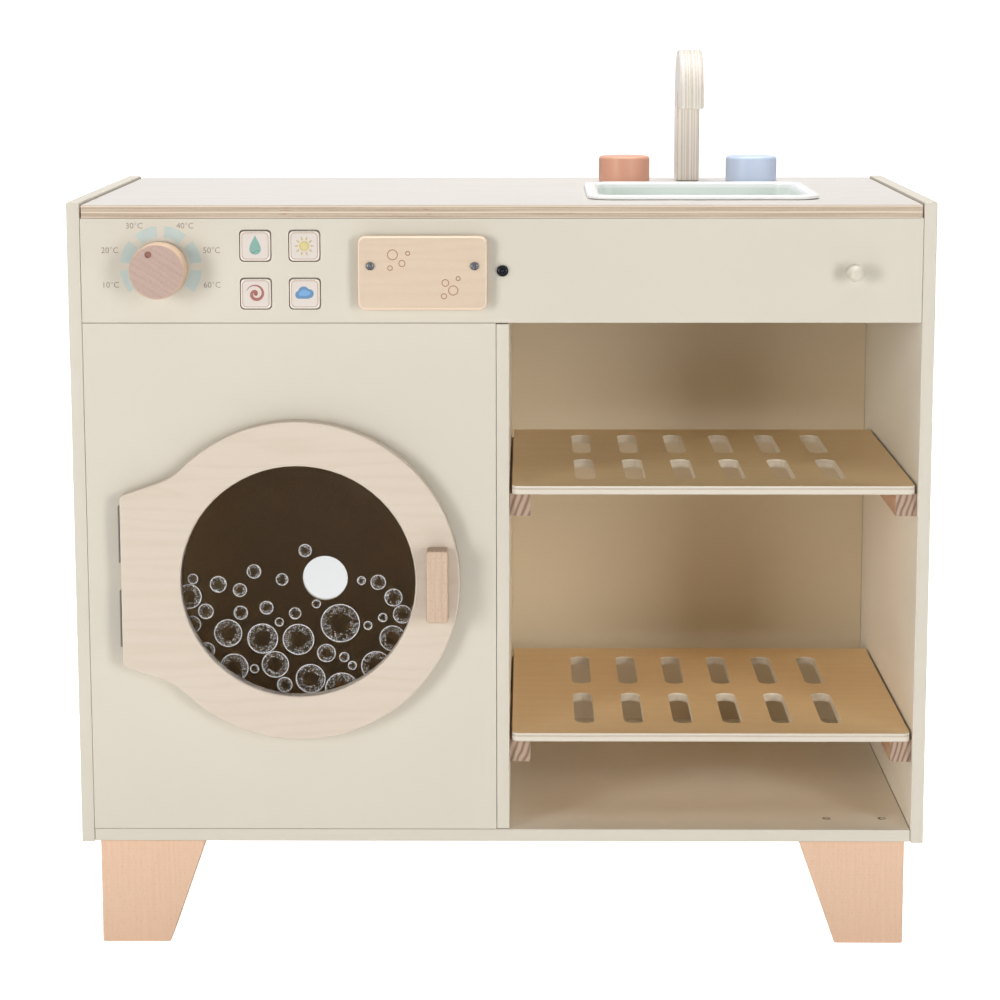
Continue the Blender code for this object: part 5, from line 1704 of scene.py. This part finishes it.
class TOYWASHER_OT_taps(bpy.types.Operator):
    """Turns the two tap knobs and finishes the ply spout"""

    bl_idname = "toy_washer.taps"
    bl_label = "Taps and spout"

    def execute(self, context):
        paint = settings().paint
        warm = tap_paint("Terracotta paint", tuple(paint.terracotta))
        cold = tap_paint("Sky blue paint", tuple(paint.sky))
        for tap, material, slot in (("warm", warm, "terracotta_paint"), ("cold", cold, "blue_paint")):
            name = tap + "_tap_knob"
            low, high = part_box(name)
            radius, height = (high.x - low.x) / 2, high.z - low.z
            profile = [(0, 0), (radius - 0.0010, 0), (radius - 0.0003, 0.0003), (radius, 0.0010)]
            knob = turned(profile + rounded_end(radius, height, 0.0024, 10), 96)
            centre = middle(name)
            knob.transform(Matrix.Translation(Vector((centre.x, centre.y, low.z))))
            stand_in(name, mesh_of(name, knob, material), "_turned")
            dress(tap + "_tap_bolt", bright_steel())
        fair("spout", spout_ply())
        dress("spout_bolt", bright_steel())
        return {"FINISHED"}


class TOYWASHER_OT_works(bpy.types.Operator):
    """Winds the button springs and finishes their housing"""

    bl_idname = "toy_washer.works"
    bl_label = "Springs and housing"

    def execute(self, context):
        fittings = settings().fittings
        wire = fittings.spring_wire
        material = metal("Spring wire", tuple(fittings.steel), 0.3, 900)
        dress("button_housing", grey_moulding())
        for place in (f"{level}_{side}" for level in LEVELS for side in SIDES):
            name = place + "_spring"
            low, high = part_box(name)
            length = high.y - low.y
            radius = (high.x - low.x) / 2 - wire
            values = {
                "Turns": fittings.spring_turns, "Radius": radius, "Height": length - wire * 2, "Wire": wire,
                "Material": material,
            }
            mesh = grown(name, "Coil", values)
            centre = middle(name)
            mesh.transform(facing(Vector((centre.x, high.y - wire, centre.z)), NEAR))
            made = mount(name + "_wound", mesh, CABINET, [name])
            travel = next(joint for joint in frame["joints"] if joint["name"] == place + "_button_push")
            keep = 1 - max(abs(value) for value in travel["range_m"]) / length
            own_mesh(made)
        return {"FINISHED"}


class TOYWASHER_OT_fasteners(bpy.types.Operator):
    """Sets the screws of the back board, the leg bolts and the caps on the side boards"""

    bl_idname = "toy_washer.fasteners"
    bl_label = "Screws, bolts and caps"

    def back_screws(self, radius):
        low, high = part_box("back_board")
        inset = 0.006
        places = []
        for row in range(5):
            up = low.z + inset + (high.z - low.z - inset * 2) * row / 4
            places += [(low.x + inset, high.y, up), (high.x - inset, high.y, up)]
        for column in range(1, 5):
            across = low.x + (high.x - low.x) * column / 5
            places += [(across, high.y, low.z + inset), (across, high.y, high.z - inset)]
        divider = middle("divider_board").x
        places += [(divider, high.y, low.z + (high.z - low.z) * quarter / 4) for quarter in (1, 2, 3)]
        head = domed_head("back_screw", radius, radius * 0.42, bright_steel())
        set_fasteners("back_screws", head, places, (0, 1, 0), bright_steel(), 5)

    def leg_bolts(self, radius):
        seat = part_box("floor_board")[1].z - HAIR
        bolts = []
        for row in ROWS:
            for side, sign in zip(SIDES, SIGNS):
                name = f"{row}_{side}_leg"
                outer = outer_face(name, sign)
                bolts += [(outer - sign * inward, middle(name).y, seat) for inward in (0.0138, 0.0538)]
        head = domed_head("leg_bolt", radius, radius * 0.16, bright_steel(), True)
        set_fasteners("leg_bolts", head, bolts, (0, 0, 1), bright_steel(), 2)

    def side_caps(self, radius):
        thick = 0.0006
        profile = [(0, -thick), (radius * 0.8, -thick), (radius, 0)]
        profile += rounded_end(radius, thick, thick * 0.8, 4)
        levels = [middle("floor_board").z, middle("worktop").z]
        for side, sign in zip(SIDES, SIGNS):
            name = side + "_side_board"
            low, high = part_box(name)
            face = outer_face(name, sign) - sign * HAIR
            deeps = [low.y + (high.y - low.y) * along for along in (0.16, 0.5, 0.84)]
            caps = [(face, deep, up) for deep in deeps for up in levels]
            cap = evened("cap", mesh_of(side + "_cap", turned(profile, 32)))
            set_fasteners(side + "_side_caps", cap, caps, (sign, 0, 0), cream_lacquer(), 3)

    def execute(self, context):
        given = settings().fittings
        self.back_screws(given.back_screw)
        self.leg_bolts(given.leg_bolt)
        self.side_caps(given.cap)
        return {"FINISHED"}


def outer_face(name, sign):
    """Where a node ends to the left, with sign -1, or to the right, with sign 1."""
    low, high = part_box(name)
    return low.x if sign < 0 else high.x


def soft_box(name, place, size, power, mirrored=True):
    """A soft light that looks at the toy's middle."""
    light = bpy.data.lights.new(name, "AREA")
    light.shape = "RECTANGLE"
    light.size, light.size_y = size
    light.energy = power
    made = holder_of(name, light)
    made.visible_glossy = mirrored
    made.location = place
    made.rotation_euler = (Vector((0, 0, 0.3)) - Vector(place)).to_track_quat("-Z", "Y").to_euler()


def studio_white(tree, diffuse, glossy, seen_through):
    """How white the studio is to soft light, to a reflection, through the window and to the camera."""
    path = tree.nodes.new("ShaderNodeLightPath").outputs
    whites = {"Is Glossy Ray": glossy, "Is Transmission Ray": seen_through, "Is Camera Ray": PLAIN_WHITE}
    strength = diffuse
    for ray, white in whites.items():
        strength = calc("MAXIMUM", strength, Wire(path[ray]) * white)
    return strength


class TOYWASHER_OT_stage(bpy.types.Operator):
    """Sets the camera, the soft lights and the pale floor"""

    bl_idname = "toy_washer.stage"
    bl_label = "Stage"

    def camera(self, given):
        right = Vector((math.cos(given.yaw), math.sin(given.yaw), 0))
        level = Vector((-math.sin(given.yaw), math.cos(given.yaw), 0))
        ahead = level * math.cos(given.pitch) - Vector((0, 0, math.sin(given.pitch)))
        up = right.cross(ahead)
        lean, stand = math.sin(given.roll), math.cos(given.roll)
        turn = Matrix((right * stand + up * lean, up * stand - right * lean, -ahead)).transposed().to_4x4()
        camera = bpy.data.cameras.new("camera")
        camera.lens = given.lens
        camera.sensor_width = 36
        camera.shift_y = given.lift
        holder = holder_of("camera", camera)
        holder.matrix_world = Matrix.Translation(Vector(given.camera)) @ turn
        bpy.context.scene.camera = holder
        bpy.context.scene.view_settings.view_transform = "Standard"

    def lights(self, given):
        soft_box("left_soft_box", (-1.9, -2.3, 0.7), (0.85, 1.3), given.left_power)
        soft_box("right_soft_box", (1.76, -2.43, 0.7), (0.75, 1.3), given.right_power)
        soft_box("top_soft_box", (0, 0.4, 2.6), (1.8, 0.9), given.top_power)
        soft_box("front_soft_box", (0, -1.5, 2.4), (2.0, 0.8), given.front_power)
        soft_box("back_soft_box", (0, 3.0, 0.3), (1.2, 0.5), given.back_power, False)

    def floor(self, given):
        thickness = 0.01
        made = Finish("Pale floor", 0.9)
        made.done(blend(cloud(made.place, 3) * 0.05, given.floor, shade(given.floor, 0.96)))
        feed(made.shader["Emission Color"], (1, 1, 1))
        feed(made.shader["Emission Strength"], studio_white(made.tree, given.floor_glow, 0.145, 0.12))
        disc = mesh_of("floor", slab(ring_points(400.0, 96), thickness), made.material)
        disc.transform(Matrix.Translation((0, 0, -thickness)))
        holder_of("floor", disc)

    def studio(self, given):
        world = bpy.data.worlds.new("Studio")
        bpy.context.scene.world = world
        world.use_nodes = True
        ground = world.node_tree.nodes["Background"].inputs
        feed(ground["Strength"], studio_white(world.node_tree, given.sky, given.shine, 0.67))
        feed(ground["Color"], (1, 1, 1))

    def execute(self, context):
        given = settings().stage
        self.camera(given)
        self.lights(given)
        self.floor(given)
        self.studio(given)
        return {"FINISHED"}


OPERATORS = (
    TOYWASHER_OT_boards,
    TOYWASHER_OT_worktop,
    TOYWASHER_OT_shelves,
    TOYWASHER_OT_legs,
    TOYWASHER_OT_door,
    TOYWASHER_OT_window,
    TOYWASHER_OT_dial,
    TOYWASHER_OT_buttons,
    TOYWASHER_OT_soap_drawer,
    TOYWASHER_OT_peg,
    TOYWASHER_OT_sink,
    TOYWASHER_OT_taps,
    TOYWASHER_OT_works,
    TOYWASHER_OT_fasteners,
    TOYWASHER_OT_stage,
)


class TOYWASHER_PT_panel(bpy.types.Panel):
    """Lists the pieces of the toy washing machine"""

    bl_label = "Toy washing machine"
    bl_idname = "TOYWASHER_PT_panel"
    bl_space_type = "VIEW_3D"
    bl_region_type = "UI"
    bl_category = "Toy washer"

    def draw(self, context):
        given = context.scene.toy_washer
        for operator in OPERATORS:
            self.layout.operator(operator.bl_idname, text=operator.bl_label)
        for group in ToyWasherSettings.__annotations__:
            box = self.layout.box()
            box.label(text=group.capitalize())
            chosen = getattr(given, group)
            for name in chosen.__annotations__:
                box.prop(chosen, name)


GROUPS_OF_SETTINGS = (
    PaintSettings,
    TimberSettings,
    DialSettings,
    ButtonSettings,
    WindowSettings,
    SoapSettings,
    FittingSettings,
    StageSettings,
    ToyWasherSettings,
)
CLASSES = GROUPS_OF_SETTINGS + OPERATORS + (TOYWASHER_PT_panel,)


def register():
    for item in CLASSES:
        bpy.utils.register_class(item)
    bpy.types.Scene.toy_washer = PointerProperty(type=ToyWasherSettings)


def unregister():
    del bpy.types.Scene.toy_washer
    for item in reversed(CLASSES):
        bpy.utils.unregister_class(item)


def main():
    register()
    for operator in OPERATORS:
        group, name = operator.bl_idname.split(".")
        getattr(getattr(bpy.ops, group), name)()


if __name__ == "__main__":
    main()
